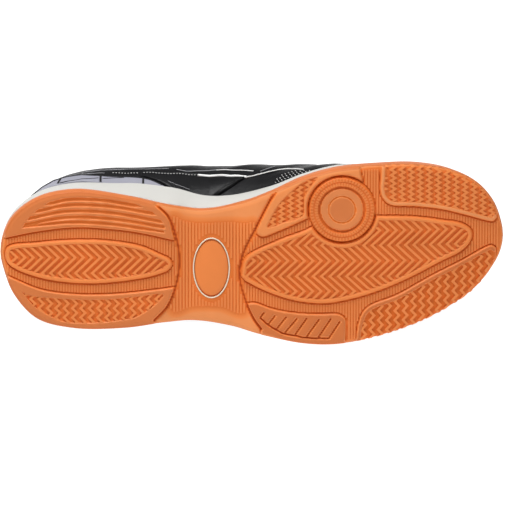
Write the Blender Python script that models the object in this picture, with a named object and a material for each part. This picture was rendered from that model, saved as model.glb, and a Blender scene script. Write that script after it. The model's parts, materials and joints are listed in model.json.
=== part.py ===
# Low indoor court shoe for the left foot, lying on its outer side.
# The pieces are worked out standing, in millimetres: x runs from heel to toe,
# y to the outer (lateral) side, z up from the tread. An empty then lays them down.

import bpy
import bmesh
import numpy as np
from mathutils import Matrix

MM = 0.001

# Driving sizes of the sole
TOE_SPRING = 11.0
SPRING_FROM = 212.0
HEEL_BEVEL = 3.0
BEVEL_TO = 20.0
POD_HEIGHT = 1.6
OUTSOLE = 4.4
ARCH_LIFT = 3.2
ARCH_FROM, ARCH_TO, ARCH_RAMP = 98.0, 154.0, 16.0
RIM_WALL = 2.2
RIM_LEAN = 2.0
LEAN_FROM, LEAN_RAMP = 235.0, 50.0
EDGE_ROUNDING = (
    # inset, height above the channel floor
    (4.0, 0.0),
    (1.0, 1.1),
    (0.0, 2.6),
)
GAP = 0.3
FOAM_FLUSH = 0.2
FOAM_SWELL = 0.6
FOAM_TUCK = (6.0, 3.5)
FOAM_LEAST = 0.9
SWELL_LEVEL = 0.55
TUCKED = 1.0
TOE_BLEND = 16.0
HALF_STATIONS = 38

# Driving sizes of the upper and what lies in it
WALL = 2.2
PAD_FROM, PAD_RAMP = 0.5, 0.35
FOOT_INSET = 0.8
HEEL_INSET = 2.4
HEEL_INSET_TO, HEEL_INSET_RAMP = 34.0, 24.0
INSOLE = 4.5
INSOLE_CLEARANCE = 2.6
OVERLAY = 1.2
OVERLAY_MARGIN = 1.0
EYESTAY_WIDTH = 19.0
EYESTAY_FRONT_WIDTH = 14.0
EYESTAY_BLEND = (1.5, 3.0)
TONGUE = 4.5
TONGUE_CLEARANCE = 0.6
TONGUE_CROWN = 0.10
LACE_RADIUS = 1.7
LACE_POINTS = 7
LACE_SIDES = 6
LACE_EASE = 0.6
LACE_REACH = 3.0
EYELET_PAIRS = 6
EYELET_INSET = 8.0

# Outer edge of the sole between its two tips
HEEL_TIP = (0.0, 0.0)
TOE_TIP = (300.2, -8.5)
SOLE_EDGE = (
    # x, medial, lateral
    (2.0, 11.8, 10.6),
    (8.0, 22.9, 25.5),
    (22.0, 33.5, 40.2),
    (44.0, 38.4, 46.0),
    (75.0, 34.6, 45.8),
    (100.0, 29.1, 42.4),
    (119.0, 25.9, 42.2),
    (137.0, 28.3, 45.2),
    (160.0, 36.6, 51.1),
    (180.0, 45.6, 55.2),
    (200.0, 51.2, 55.8),
    (225.0, 53.5, 51.2),
    (250.0, 53.4, 42.8),
    (268.0, 49.9, 33.9),
    (284.0, 41.9, 22.6),
    (294.0, 30.3, 9.8),
    (298.5, 19.0, 1.0),
)

# Sole heights and how far the foam's top edge lies inside the sole edge
SOLE_SIDE = (
    # x, rim above tread, foam top, medial inset, lateral inset
    (0.0, 7.2, 27.0, 1.6, 2.0),
    (30.0, 6.8, 26.8, 1.0, 1.5),
    (60.0, 6.6, 26.4, -0.9, 0.8),
    (85.0, 6.6, 25.8, -5.2, 0.4),
    (105.0, 6.6, 25.0, -6.9, 0.2),
    (125.0, 6.8, 24.2, -4.6, 0.2),
    (143.0, 7.2, 22.4, -2.2, 0.6),
    (165.0, 8.0, 20.0, 0.2, 1.0),
    (182.0, 9.4, 17.8, 0.6, 1.2),
    (205.0, 10.4, 15.8, 0.8, 1.4),
    (225.0, 11.2, 15.2, 1.6, 1.8),
    (242.0, 12.4, 15.6, 3.0, 3.0),
    (262.0, 14.6, 17.2, 3.0, 3.0),
    (282.0, 17.0, 20.0, 3.0, 3.0),
    (301.0, 18.5, 24.0, 3.0, 3.0),
)

# Ribs of the upper: each climbs from the foam edge to the topline as one arc.
# out and rise aim the foot of the rib, ahead, spread and drop aim its top end.
RIBS = (
    # foot_x, rise, top_x, top_z, ahead, drop, pad, medial (out, top, spread), lateral
    (14.0, 21.0, 20.0, 83.5, -4.0, 17.0, 6.0, (-3.5, 17.5, 3.0), (1.0, 22.0, 5.0)),
    (34.0, 20.0, 37.0, 75.0, -2.0, 15.0, 6.0, (2.2, 28.0, 8.0), (2.5, 33.0, 7.5)),
    (60.0, 20.0, 62.0, 65.5, 0.0, 12.0, 6.0, (8.0, 33.0, 12.0), (2.5, 36.0, 8.5)),
    (92.0, 20.0, 92.0, 71.0, 0.0, 13.0, 5.0, (14.5, 28.5, 21.0), (2.3, 30.0, 15.0)),
    (118.0, 21.0, 111.0, 85.0, 2.0, 13.0, 2.6, (23.0, 19.5, 28.0), (3.0, 19.5, 22.0)),
    (145.0, 20.0, 145.0, 79.0, 2.0, 8.0, 2.2, (24.0, 13.5, 32.0), (-1.5, 12.0, 23.0)),
    (175.0, 18.0, 177.0, 70.5, 3.0, 6.0, 2.2, (12.0, 11.0, 33.0), (-5.5, 9.0, 21.0)),
    (212.0, 18.0, 199.0, 65.0, 8.0, 3.5, 2.2, (0.0, 9.5, 27.5), (-5.0, 4.5, 22.0)),
    (245.0, 18.0, 207.5, 63.0, 22.0, 2.5, 2.2, (0.5, 6.5, 24.0), (0.0, 0.5, 22.0)),
    (276.0, 18.0, 211.0, 62.2, 38.0, 3.0, 2.2, (0.0, 4.0, 18.0), (0.0, -1.5, 14.0)),
)
HEEL_RIB = {"lead": (4.5, 0.0, 22.0), "top": (14.5, 2.5, 85.5), "tail": (-4.0, 0.0, -18.0), "pad": 6.0}
TOE_RIB = {"lead": (-1.0, 0.0, 20.0), "top": (212.5, -2.8, 61.8), "tail": (50.0, -4.0, -4.0), "pad": 2.2}
COLUMNS_PER_RIB = 3
RIB_STEP, SHARE_STEP = 0.04, 0.015
UPPER_SHARES = (0.0, 0.08, 0.18, 0.3, 0.42, 0.54, 0.66, 0.78, 0.9, 1.0)

# Where the overlays lie, counted in ribs from the heel
COUNTER_REACH = 4.5
COUNTER_GRID = (55, 4)
COUNTER_TOP = (
    # rib, height up from the foam
    (0.0, 10.5),
    (1.3, 10.5),
    (2.0, 10.5),
    (2.5, 9.0),
    (3.0, 9.5),
    (3.7, 13.4),
    (4.15, 9.6),
    (4.5, 2.6),
)
SADDLE_FROM, SADDLE_SLANT, SADDLE_TO = 3.72, 5.2, 6.05
SADDLE_FRONT = 13.0
SADDLE_GRID = (15, 7)
SADDLE_TOP = (
    # rib, height up from the foam
    (3.72, 17.0),
    (4.12, 20.6),
    (4.87, 24.4),
    (5.5, 19.8),
    (6.05, 15.8),
)
EYESTAY_FROM = 5.0
EYESTAY_GRID = (43, 4)
EYELETS_FROM, EYELETS_TO = 5.2, 8.1

# Free end of the tongue above the lace facing
TONGUE_TOP = (
    # x, z, half width, crown
    (106.0, 92.0, 13.5, 2.5),
    (99.0, 98.5, 18.0, 4.0),
    (88.0, 106.0, 20.0, 6.0),
)
TONGUE_RIBS = (8.3, 7.6, 6.9, 6.2, 5.7, 5.3)
TONGUE_TUCK = (3.0, 8.0, 10.0, 9.0, 5.0, 1.0)

# Tread pods. Each stroke is a smooth line; a pod with a side is closed along the sole edge.
PIVOT = (203.8, -26.9)
PIVOT_RADIUS = 19.4
PIVOT_CLEARANCE = 20.9
POD_EDGE = 1.0
POD_ROOT = 0.8
POD_STEP = 6.0
HEEL_PODS = {
    "medial": (
        ((2.9, -9.3), (20.0, -13.3), (45.0, -16.2), (68.4, -14.9), (84.2, -12.7), (103.6, -8.3)),
        ((100.1, -22.5), (93.0, -29.0)),
    ),
    "lateral": (
        ((4.8, 14.4), (25.6, 22.5), (45.3, 25.0), (62.7, 25.1), (77.5, 24.1), (104.0, 20.8)),
        ((99.5, 32.3), (91.7, 40.4)),
    ),
}
HEEL_LENS = (
    (4.6, -3.4), (22.8, -6.6), (45.6, -8.2), (64.4, -7.7), (89.9, -2.6), (102.5, 6.2),
    (84.2, 14.9), (53.0, 18.0), (22.8, 14.3), (4.3, 5.5),
)
FORE_CENTRAL = (
    ((143.9, 14.0), (146.3, 3.0), (164.5, -7.3), (183.0, -14.3)),
    ((224.4, -22.8), (247.3, -22.0), (264.0, -19.5), (275.4, -17.1), (281.0, -12.6),
     (280.7, -7.1), (275.4, -0.9), (263.2, 5.0), (243.2, 15.1), (223.5, 23.2),
     (206.8, 28.0), (193.1, 30.1), (175.2, 28.3), (159.1, 22.9), (146.6, 16.8)),
)
FORE_MEDIAL_REAR = (
    ((163.5, -36.5), (152.9, -15.5)),
    ((153.2, -12.2), (156.2, -10.5), (166.9, -14.3), (183.0, -21.6)),
    ((216.2, -44.3), (214.6, -51.0)),
)
FORE_MEDIAL_FRONT = (
    ((227.4, -52.0), (226.8, -38.0), (228.3, -33.5), (232.4, -29.9), (247.6, -28.7),
     (264.0, -26.3), (280.7, -21.6), (290.6, -18.5), (294.0, -18.0), (296.0, -20.0)),
)
FORE_LATERAL_REAR = (
    ((155.8, 46.0), (151.6, 40.3), (147.8, 32.6)),
    ((147.8, 30.8), (151.6, 30.3), (161.7, 33.8), (175.2, 36.4), (190.7, 37.2),
     (201.6, 37.2), (205.3, 39.6), (205.9, 43.9), (205.6, 53.0)),
)
FORE_LATERAL_FRONT = (
    ((212.7, 52.0), (213.7, 43.9), (216.3, 36.3), (220.5, 32.0), (236.6, 25.6),
     (256.3, 14.8), (276.5, 4.9), (289.7, -2.0), (293.0, -3.0), (295.5, -1.5)),
)
POD_CUTS = (6.0, 12.0, 20.0) + tuple(range(212, 297, 9))

# Oval window in the arch
MEDALLION = (126.0, 9.5)
MEDALLION_HALF = (10.7, 18.1)
RING_WIDTH = 1.0
RING_PROUD = 0.3
WINDOW_DEPTH = 1.5

# Point over which the shoe balances when it lies down
BALANCE = (144.0, 0.0, 21.5)
SIDEWAYS = 0.7

GUM = (0.80, 0.23, 0.055)
WHITE = (0.86, 0.86, 0.84)
BLACK = (0.018, 0.018, 0.020)
GREY = (0.42, 0.42, 0.47)


def hermite(rows, at):
    xs, ys = np.array(rows, float).T
    slope = np.gradient(ys, xs)
    at = np.asarray(at, float)
    i = np.clip(np.searchsorted(xs, at) - 1, 0, len(xs) - 2)
    span = xs[i + 1] - xs[i]
    u = np.clip((at - xs[i]) / span, 0.0, 1.0)
    v = 1.0 - u
    start = (1 + 2 * u) * v * v * ys[i] + u * v * v * span * slope[i]
    return start + u * u * (3 - 2 * u) * ys[i + 1] - u * u * v * span * slope[i + 1]


def through(points, at_count, closed):
    points = np.array(points, float)
    if closed:
        points = np.vstack([points[-3:], points, points[:4]])
    step = np.sqrt(np.linalg.norm(np.diff(points, axis=0), axis=1))
    t = np.concatenate([[0.0], np.cumsum(step)])
    first, last = (t[3], t[-4]) if closed else (t[0], t[-1])
    at = np.linspace(first, last, at_count, endpoint=not closed)
    columns = [hermite(np.column_stack([t, points[:, k]]), at) for k in range(points.shape[1])]
    return np.column_stack(columns)


def smooth(u):
    u = np.clip(u, 0.0, 1.0)
    return u * u * (3 - 2 * u)


def column(table, index):
    return [(row[0], row[index]) for row in table]


# Heights of the sole along x

def tread(x):
    spring = np.clip((x - SPRING_FROM) / (TOE_TIP[0] - SPRING_FROM), 0, None)
    bevel = np.clip((BEVEL_TO - x) / BEVEL_TO, 0, 1.1)
    return TOE_SPRING * spring ** 2 + HEEL_BEVEL * bevel ** 2


def arch(x):
    return ARCH_LIFT * smooth((x - ARCH_FROM) / ARCH_RAMP) * smooth((ARCH_TO - x) / ARCH_RAMP)


def channel_floor(x):
    return tread(x) + POD_HEIGHT + arch(x)


def plate_top(x):
    return tread(x) + OUTSOLE + arch(x)


def rim_top(x):
    return tread(x) + arch(x) + hermite(column(SOLE_SIDE, 1), x)


def rim_lean(x):
    return RIM_LEAN * smooth((x - LEAN_FROM) / LEAN_RAMP)


def foam_top(x):
    return hermite(column(SOLE_SIDE, 2), x)


# Loops around the sole: heel tip, medial side, toe tip, lateral side

def sole_loop():
    medial = [(x, -m) for x, m, _ in SOLE_EDGE]
    lateral = [(x, l) for x, _, l in reversed(SOLE_EDGE)]
    dense = through([HEEL_TIP] + medial + [TOE_TIP] + lateral, 4000, True)
    dense = np.roll(dense, -int(np.argmin(dense[:, 0])), axis=0)
    toe = int(np.argmax(dense[:, 0]))
    near, far = dense[:toe + 1], np.vstack([dense[toe:], dense[:1]])[::-1]
    turn = np.linspace(0.0, np.pi, HALF_STATIONS + 1)
    x = dense[0, 0] + (dense[toe, 0] - dense[0, 0]) * (1 - np.cos(turn)) / 2
    medial = np.column_stack([x, np.interp(x, near[:, 0], near[:, 1])])
    lateral = np.column_stack([x, np.interp(x, far[:, 0], far[:, 1])])
    return np.vstack([medial, lateral[-2:0:-1]])


SOLE = sole_loop()
AROUND = len(SOLE)


def inset_loop(distance):
    ahead = np.roll(SOLE, -1, axis=0) - np.roll(SOLE, 1, axis=0)
    outward = np.column_stack([ahead[:, 1], -ahead[:, 0]])
    outward /= np.linalg.norm(outward, axis=1)[:, None]
    return SOLE - outward * np.broadcast_to(distance, AROUND)[:, None]


def ring(distance, height):
    loop = inset_loop(distance)
    return np.column_stack([loop, np.broadcast_to(height(loop[:, 0]), AROUND)])


def foam_edge():
    medial = hermite(column(SOLE_SIDE, 3), SOLE[:, 0])
    lateral = hermite(column(SOLE_SIDE, 4), SOLE[:, 0])
    share = smooth((SOLE[:, 1] - TOE_TIP[1]) / TOE_BLEND + 0.5)
    return medial * (1 - share) + lateral * share


def inside_rim():
    return RIM_WALL + rim_lean(SOLE[:, 0]) + GAP


def foam_tuck():
    full, ramp = FOAM_TUCK
    cover = full - (foam_top(SOLE[:, 0]) - rim_top(SOLE[:, 0]))
    return FOAM_FLUSH + (inside_rim() - FOAM_FLUSH) * smooth(cover / ramp)


def foot_edge():
    heel = HEEL_INSET * smooth((HEEL_INSET_TO - SOLE[:, 0]) / HEEL_INSET_RAMP)
    return np.maximum(foam_edge(), foam_tuck()) + FOOT_INSET + heel


# Building of meshes

def stack_faces(rings):
    faces = []
    for level in range(rings - 1):
        low, high = level * AROUND, (level + 1) * AROUND
        for i in range(AROUND):
            j = (i + 1) % AROUND
            faces.append((low + i, low + j, high + j, high + i))
    return faces


def ladder(first, upward):
    faces = []
    for i in range(HALF_STATIONS):
        near, far = i, i + 1
        rung = [near, far, (AROUND - far) % AROUND, (AROUND - near) % AROUND]
        face = [first + k for k in dict.fromkeys(rung)]
        faces.append(face if upward else face[::-1])
    return faces


def stack(rings):
    faces = stack_faces(len(rings))
    faces += ladder(0, False) + ladder((len(rings) - 1) * AROUND, True)
    return np.vstack(rings), faces


def sheet_solid(outer, inner, closed):
    rows, columns = outer.shape[:2]
    count = rows * columns
    wrap = columns if closed else columns - 1
    faces = []
    for r in range(rows - 1):
        for c in range(wrap):
            a, b = r * columns + c, r * columns + (c + 1) % columns
            faces.append((a, b, b + columns, a + columns))
            faces.append((count + a, count + a + columns, count + b + columns, count + b))
    top = (rows - 1) * columns
    for c in range(wrap):
        d = (c + 1) % columns
        faces.append((c, count + c, count + d, d))
        faces.append((top + c, top + d, count + top + d, count + top + c))
    if not closed:
        for r in range(rows - 1):
            a, b = r * columns, (r + 1) * columns
            faces.append((a, b, count + b, count + a))
            a, b = a + columns - 1, b + columns - 1
            faces.append((a, count + a, count + b, b))
    return np.vstack([outer.reshape(-1, 3), inner.reshape(-1, 3)]), faces


def add_material(name, colour, roughness):
    material = bpy.data.materials.new(name)
    material.use_nodes = True
    shader = material.node_tree.nodes["Principled BSDF"]
    shader.inputs["Base Color"].default_value = (*colour, 1.0)
    shader.inputs["Roughness"].default_value = roughness
    shader.inputs["Metallic"].default_value = 0.0
    return material


def add_mesh(name, points, faces, material=None):
    mesh = bpy.data.meshes.new(name)
    mesh.from_pydata((np.asarray(points) * MM).tolist(), [], [tuple(f) for f in faces])
    mesh.update()
    thing = bpy.data.objects.new(name, mesh)
    bpy.context.scene.collection.objects.link(thing)
    if material:
        mesh.materials.append(material)
        mesh.shade_smooth()
        mesh.set_sharp_from_angle(angle=np.radians(35))
    else:
        thing.hide_render = True
        thing.display_type = "WIRE"
    return thing


def combine(thing, other, operation):
    modifier = thing.modifiers.new(operation.lower(), "BOOLEAN")
    modifier.operation = operation
    modifier.solver = "EXACT"
    modifier.object = other


# Outsole and foam

def outsole_rings():
    rings = [ring(inset, lambda x, up=up: channel_floor(x) + up) for inset, up in EDGE_ROUNDING]
    lean = rim_lean(SOLE[:, 0])
    rings.append(ring(lean, rim_top))
    rings.append(ring(lean + RIM_WALL, rim_top))
    rings.append(ring(lean + RIM_WALL, plate_top))
    return rings


def midsole_rings():
    inside, tuck = inside_rim(), foam_tuck()
    edge = np.where(tuck > TUCKED, np.maximum(foam_edge(), tuck), foam_edge())
    swell = tuck + (edge - tuck) * SWELL_LEVEL - FOAM_SWELL
    swell = np.where(tuck > TUCKED, np.maximum(swell, tuck), swell)

    def shelf(x):
        low = plate_top(x) + FOAM_LEAST
        return np.maximum(np.minimum(rim_top(x) + GAP, foam_top(x) - FOAM_LEAST), low)

    def middle(x):
        return shelf(x) + (foam_top(x) - shelf(x)) * SWELL_LEVEL

    return [
        ring(inside, lambda x: plate_top(x) + GAP),
        ring(inside, shelf),
        ring(tuck, shelf),
        ring(swell, middle),
        ring(edge, foam_top),
    ]


def side_points(first_x, last_x, side):
    loop = inset_loop(POD_EDGE)
    half = loop[:HALF_STATIONS + 1]
    if side == "lateral":
        half = np.vstack([loop[HALF_STATIONS:], loop[:1]])[::-1]
    count = max(4, int(abs(last_x - first_x) / POD_STEP))
    x = np.linspace(first_x, last_x, count)
    return np.column_stack([x, np.interp(x, half[:, 0], half[:, 1])])


def pivot_arc(start, end, clockwise):
    a = np.arctan2(start[1] - PIVOT[1], start[0] - PIVOT[0])
    b = np.arctan2(end[1] - PIVOT[1], end[0] - PIVOT[0])
    if clockwise and b > a:
        b -= 2 * np.pi
    if not clockwise and b < a:
        b += 2 * np.pi
    turn = np.linspace(a, b, 16)
    arc = np.column_stack([np.cos(turn), np.sin(turn)]) * PIVOT_CLEARANCE
    return arc + PIVOT


def stroke(points):
    if len(points) == 2:
        return np.array(points, float)
    return through(points, 3 * len(points), False)


def side_pod(strokes, side):
    outline = np.vstack([stroke(points) for points in strokes])
    return np.vstack([outline, side_points(outline[-1, 0], outline[0, 0], side)])


def pod_outlines():
    outlines = [side_pod(strokes, side) for side, strokes in HEEL_PODS.items()]
    outlines.append(through(HEEL_LENS, 40, True))
    rear, front = FORE_CENTRAL
    arc = pivot_arc(rear[-1], front[0], True)
    outlines.append(np.vstack([stroke(rear)[:-1], arc, stroke(front)[1:]]))
    back, low, top = FORE_MEDIAL_REAR
    arc = pivot_arc(low[-1], top[0], False)
    outline = np.vstack([stroke(back), stroke(low)[:-1], arc, stroke(top)[1:]])
    outlines.append(np.vstack([outline, side_points(outline[-1, 0], outline[0, 0], "medial")]))
    outlines.append(side_pod(FORE_MEDIAL_FRONT, "medial"))
    outlines.append(side_pod(FORE_LATERAL_REAR, "lateral"))
    outlines.append(side_pod(FORE_LATERAL_FRONT, "lateral"))
    turn = np.linspace(0, 2 * np.pi, 40, endpoint=False)
    outlines.append(np.column_stack([np.cos(turn), np.sin(turn)]) * PIVOT_RADIUS + PIVOT)
    return outlines


def add_pods():
    bm = bmesh.new()
    for outline in pod_outlines():
        low = [bm.verts.new((x, y, 0.0)) for x, y in outline]
        face = bm.faces.new(low)
        grown = bmesh.ops.extrude_face_region(bm, geom=[face])["geom"]
        for vert in grown:
            if isinstance(vert, bmesh.types.BMVert):
                vert.co.z = 1.0
    for x in POD_CUTS:
        everything = bm.verts[:] + bm.edges[:] + bm.faces[:]
        bmesh.ops.bisect_plane(bm, geom=everything, dist=1e-4, plane_co=(x, 0, 0), plane_no=(1, 0, 0))
    bmesh.ops.triangulate(bm, faces=bm.faces[:])
    bmesh.ops.recalc_face_normals(bm, faces=bm.faces[:])
    for vert in bm.verts:
        x = vert.co.x
        vert.co.z = tread(x) if vert.co.z < 0.5 else channel_floor(x) + POD_ROOT
        vert.co *= MM
    mesh = bpy.data.meshes.new("tread_pods")
    bm.to_mesh(mesh)
    bm.free()
    pods = bpy.data.objects.new("tread_pods", mesh)
    pods.hide_render = True
    pods.display_type = "WIRE"
    bpy.context.scene.collection.objects.link(pods)
    return pods


def oval(half, z, count=40):
    turn = np.linspace(0, 2 * np.pi, count, endpoint=False)
    x = MEDALLION[0] + half[0] * np.cos(turn)
    y = MEDALLION[1] + half[1] * np.sin(turn)
    return np.column_stack([x, y, np.full(count, z)])


def oval_block(half, low, high):
    rings = np.vstack([oval(half, low), oval(half, high)])
    count = len(rings) // 2
    faces = [tuple(reversed(range(count))), tuple(range(count, 2 * count))]
    for i in range(count):
        j = (i + 1) % count
        faces.append((i, j, count + j, count + i))
    return rings, faces


def grown(half, by):
    return (half[0] + by, half[1] + by)


# The upper's surface: q counts ribs from the heel round by the medial side

STATIONS = len(RIBS)
RIB_COUNT = 2 * STATIONS + 2
TOE_INDEX = STATIONS + 1
FOOT_LOOP = inset_loop(foot_edge())


def rib_table():
    along = np.interp([row[0] for row in RIBS], FOOT_LOOP[:HALF_STATIONS + 1, 0], range(HALF_STATIONS + 1))
    rows = [None] * RIB_COUNT
    rows[0] = (0.0, HEEL_RIB)
    rows[TOE_INDEX] = (float(HALF_STATIONS), TOE_RIB)
    far = FOOT_LOOP[np.arange(AROUND, HALF_STATIONS - 1, -1) % AROUND, 0]
    along_far = np.interp([row[0] for row in RIBS], far, range(HALF_STATIONS + 1))
    for k, (_, rise, top_x, top_z, ahead, drop, pad, medial, lateral) in enumerate(RIBS):
        for index, place, sign, (out, top, spread) in (
            (k + 1, along[k], -1.0, medial),
            (RIB_COUNT - 1 - k, AROUND - along_far[k], 1.0, lateral),
        ):
            rows[index] = (place, {
                "lead": (0.0, sign * out, rise),
                "top": (top_x, sign * top, top_z),
                "tail": (ahead, sign * spread, -drop),
                "pad": pad,
            })
    return rows


ROWS = rib_table()


def around(values, q, turn=0.0):
    values = np.array(values, float)
    extended = np.concatenate([values[-3:] - turn, values, values[:4] + turn])
    t = np.arange(-3, len(values) + 4)
    return hermite(np.column_stack([t, extended]), np.mod(q, RIB_COUNT))


def rib_vector(key, q):
    return np.column_stack([around([row[1][key][k] for row in ROWS], q) for k in range(3)])


def rib_curves(q, samples=60):
    place = np.mod(around([row[0] for row in ROWS], q, AROUND), AROUND)
    wrapped = np.vstack([FOOT_LOOP, FOOT_LOOP[:1]])
    foot = np.column_stack([np.interp(place, range(AROUND + 1), wrapped[:, k]) for k in range(2)])
    foot = np.column_stack([foot, foam_top(foot[:, 0]) + GAP])
    top = rib_vector("top", q)
    lead = foot + rib_vector("lead", q)
    tail = top + rib_vector("tail", q)
    u = np.linspace(0, 1, samples)[:, None, None]
    v = 1 - u
    return v ** 3 * foot + 3 * u * v * v * lead + 3 * u * u * v * tail + u ** 3 * top


def rib_lengths(q):
    steps = np.linalg.norm(np.diff(rib_curves(q), axis=0), axis=2)
    return steps.sum(axis=0)


def surface(q, share):
    q, share = np.broadcast_arrays(np.asarray(q, float), np.asarray(share, float))
    shape = q.shape
    q, share = q.ravel(), share.ravel()
    curves = rib_curves(q)
    steps = np.linalg.norm(np.diff(curves, axis=0), axis=2)
    run = np.vstack([np.zeros(len(q)), np.cumsum(steps, axis=0)])
    target = share * run[-1]
    level = np.clip((run < target).sum(axis=0) - 1, 0, len(curves) - 2)
    pick = np.arange(len(q))
    part = (target - run[level, pick]) / (run[level + 1, pick] - run[level, pick])
    points = curves[level, pick] * (1 - part[:, None]) + curves[level + 1, pick] * part[:, None]
    return points.reshape(*shape, 3)


def outward(q, share):
    along = surface(q + RIB_STEP, share) - surface(q - RIB_STEP, share)
    higher, lower = np.minimum(share + SHARE_STEP, 1.0), np.maximum(share - SHARE_STEP, 0.0)
    up = surface(q, higher) - surface(q, lower)
    normal = np.cross(along, up)
    return normal / np.linalg.norm(normal, axis=-1)[..., None]


def lifted(q, share, lift):
    return surface(q, share) + outward(q, share) * np.asarray(lift)[..., None]


def wall(q, share):
    pad = around([row[1]["pad"] for row in ROWS], q)
    return WALL + (pad - WALL) * smooth((share - PAD_FROM) / PAD_RAMP)


def upper_solid():
    q = np.arange(RIB_COUNT * COLUMNS_PER_RIB) / COLUMNS_PER_RIB
    q, share = np.meshgrid(q, UPPER_SHARES)
    outer = surface(q, share)
    inner = lifted(q, share, -wall(q, share))
    inner[0, :, 2] = outer[0, :, 2]
    return sheet_solid(outer, inner, True)


def overlay(q, low, high, rows):
    lengths = rib_lengths(q)
    level = np.linspace(0, 1, rows)[:, None]
    share = (low + (high - low) * level) / lengths
    q = np.broadcast_to(q, share.shape)
    outer = lifted(q, share, np.full(share.shape, GAP + OVERLAY))
    inner = lifted(q, share, np.full(share.shape, GAP))
    return sheet_solid(outer, inner, False)


def counter_solid():
    q = np.linspace(-COUNTER_REACH, COUNTER_REACH, COUNTER_GRID[0])
    return overlay(q, OVERLAY_MARGIN, hermite(COUNTER_TOP, np.abs(q)), COUNTER_GRID[1])


def saddle_solid(sign):
    q = np.sort(sign * np.linspace(SADDLE_FROM, SADDLE_TO, SADDLE_GRID[0]))
    size = np.abs(q)
    front = SADDLE_FRONT * np.clip((size - SADDLE_SLANT) / (SADDLE_TO - SADDLE_SLANT), 0, 1)
    behind = np.where(size < COUNTER_REACH, hermite(COUNTER_TOP, size), 0.0) + OVERLAY
    low = np.maximum(behind, OVERLAY_MARGIN + front)
    return overlay(q, low, hermite(SADDLE_TOP, size), SADDLE_GRID[1])


def eyestay_solid():
    q = np.linspace(EYESTAY_FROM, RIB_COUNT - EYESTAY_FROM, EYESTAY_GRID[0])
    lengths = rib_lengths(q)
    share = smooth((np.abs(q - TOE_INDEX) - EYESTAY_BLEND[0]) / EYESTAY_BLEND[1])
    width = EYESTAY_FRONT_WIDTH + (EYESTAY_WIDTH - EYESTAY_FRONT_WIDTH) * share
    return overlay(q, lengths - width, lengths - OVERLAY_MARGIN, EYESTAY_GRID[1])


def tongue_sections():
    sections = []
    for rib, tuck in zip(TONGUE_RIBS, TONGUE_TUCK):
        edges = []
        for q in (rib, RIB_COUNT - rib):
            q = np.full(2, q)
            share = 1 - np.array([tuck, 0.0]) / rib_lengths(q)
            edges.append(lifted(q, share, -(wall(q, share) + TONGUE_CLEARANCE)))
        medial, lateral = edges
        across = lateral[1] - medial[1]
        crown = np.array([0, 0, 4 * TONGUE_CROWN * np.linalg.norm(across)])
        bridge = [medial[1] + across * u + crown * u * (1 - u) for u in (0.25, 0.5, 0.75)]
        sections.append(np.vstack([medial, bridge, lateral[::-1]]))
    for x, z, half, crown in TONGUE_TOP:
        y = np.linspace(-half, half, 7)
        sections.append(np.column_stack([np.full(7, x), y, z - crown * (y / half) ** 2]))
    return np.array(sections)


def tongue_solid():
    top = tongue_sections()
    middle = top[:, 3]
    run = np.gradient(middle, axis=0)
    down = np.column_stack([run[:, 2], np.zeros(len(run)), -run[:, 0]])
    down /= np.linalg.norm(down, axis=1)[:, None]
    down *= -np.sign(down[:, 2])[:, None]
    bottom = top + TONGUE * down[:, None, :]
    return sheet_solid(top, bottom, False)


def tube(path):
    ahead = np.gradient(path, axis=0)
    ahead /= np.linalg.norm(ahead, axis=1)[:, None]
    side = np.cross(ahead, (0.0, 0.0, 1.0))
    side /= np.linalg.norm(side, axis=1)[:, None]
    over = np.cross(side, ahead)
    n = LACE_SIDES
    turn = np.linspace(0, 2 * np.pi, n, endpoint=False)[None, :, None]
    round_about = np.cos(turn) * side[:, None] + np.sin(turn) * over[:, None]
    points = (path[:, None] + LACE_RADIUS * round_about).reshape(-1, 3)
    last = len(points) - n
    faces = [tuple(range(n)), tuple(range(last + n - 1, last - 1, -1))]
    for r in range(len(path) - 1):
        for c in range(n):
            a, b = n * r + c, n * r + (c + 1) % n
            faces.append((a, a + n, b + n, b))
    return points, faces


def lace_strands():
    rib = np.linspace(EYELETS_FROM, EYELETS_TO, EYELET_PAIRS)
    q = np.column_stack([rib, RIB_COUNT - rib])
    share = 1 - EYELET_INSET / rib_lengths(q.ravel()).reshape(q.shape)
    eyelet = lifted(q, share, np.full(q.shape, GAP + OVERLAY))
    facing_q = np.linspace(EYESTAY_FROM, RIB_COUNT - EYESTAY_FROM, 120)
    facing_share = 1 - np.linspace(0.5, EYESTAY_FRONT_WIDTH, 14)[:, None] / rib_lengths(facing_q)
    facing_q = np.broadcast_to(facing_q, facing_share.shape)
    facing = lifted(facing_q, facing_share, np.full(facing_share.shape, GAP + OVERLAY))
    tongue = np.array([through(section, 25, False) for section in tongue_sections()])
    tongue = np.array([through(tongue[:, k], 60, False) for k in range(25)])
    below = np.vstack([facing.reshape(-1, 3), tongue.reshape(-1, 3)])
    pairs = [(eyelet[k, s], eyelet[k + 1, 1 - s]) for k in range(EYELET_PAIRS - 1) for s in (0, 1)]
    pairs.append((eyelet[-1, 0], eyelet[-1, 1]))
    strands = []
    for start, end in pairs:
        path = np.linspace(start, end, LACE_POINTS)
        for point in path:
            near = np.linalg.norm(below[:, :2] - point[:2], axis=1) < LACE_REACH
            point[2] = max(point[2], below[near, 2].max()) + LACE_RADIUS + LACE_EASE + GAP
        strands.append(tube(path))
    return strands


# Laying the shoe down on three outermost points of its lateral side

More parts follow.
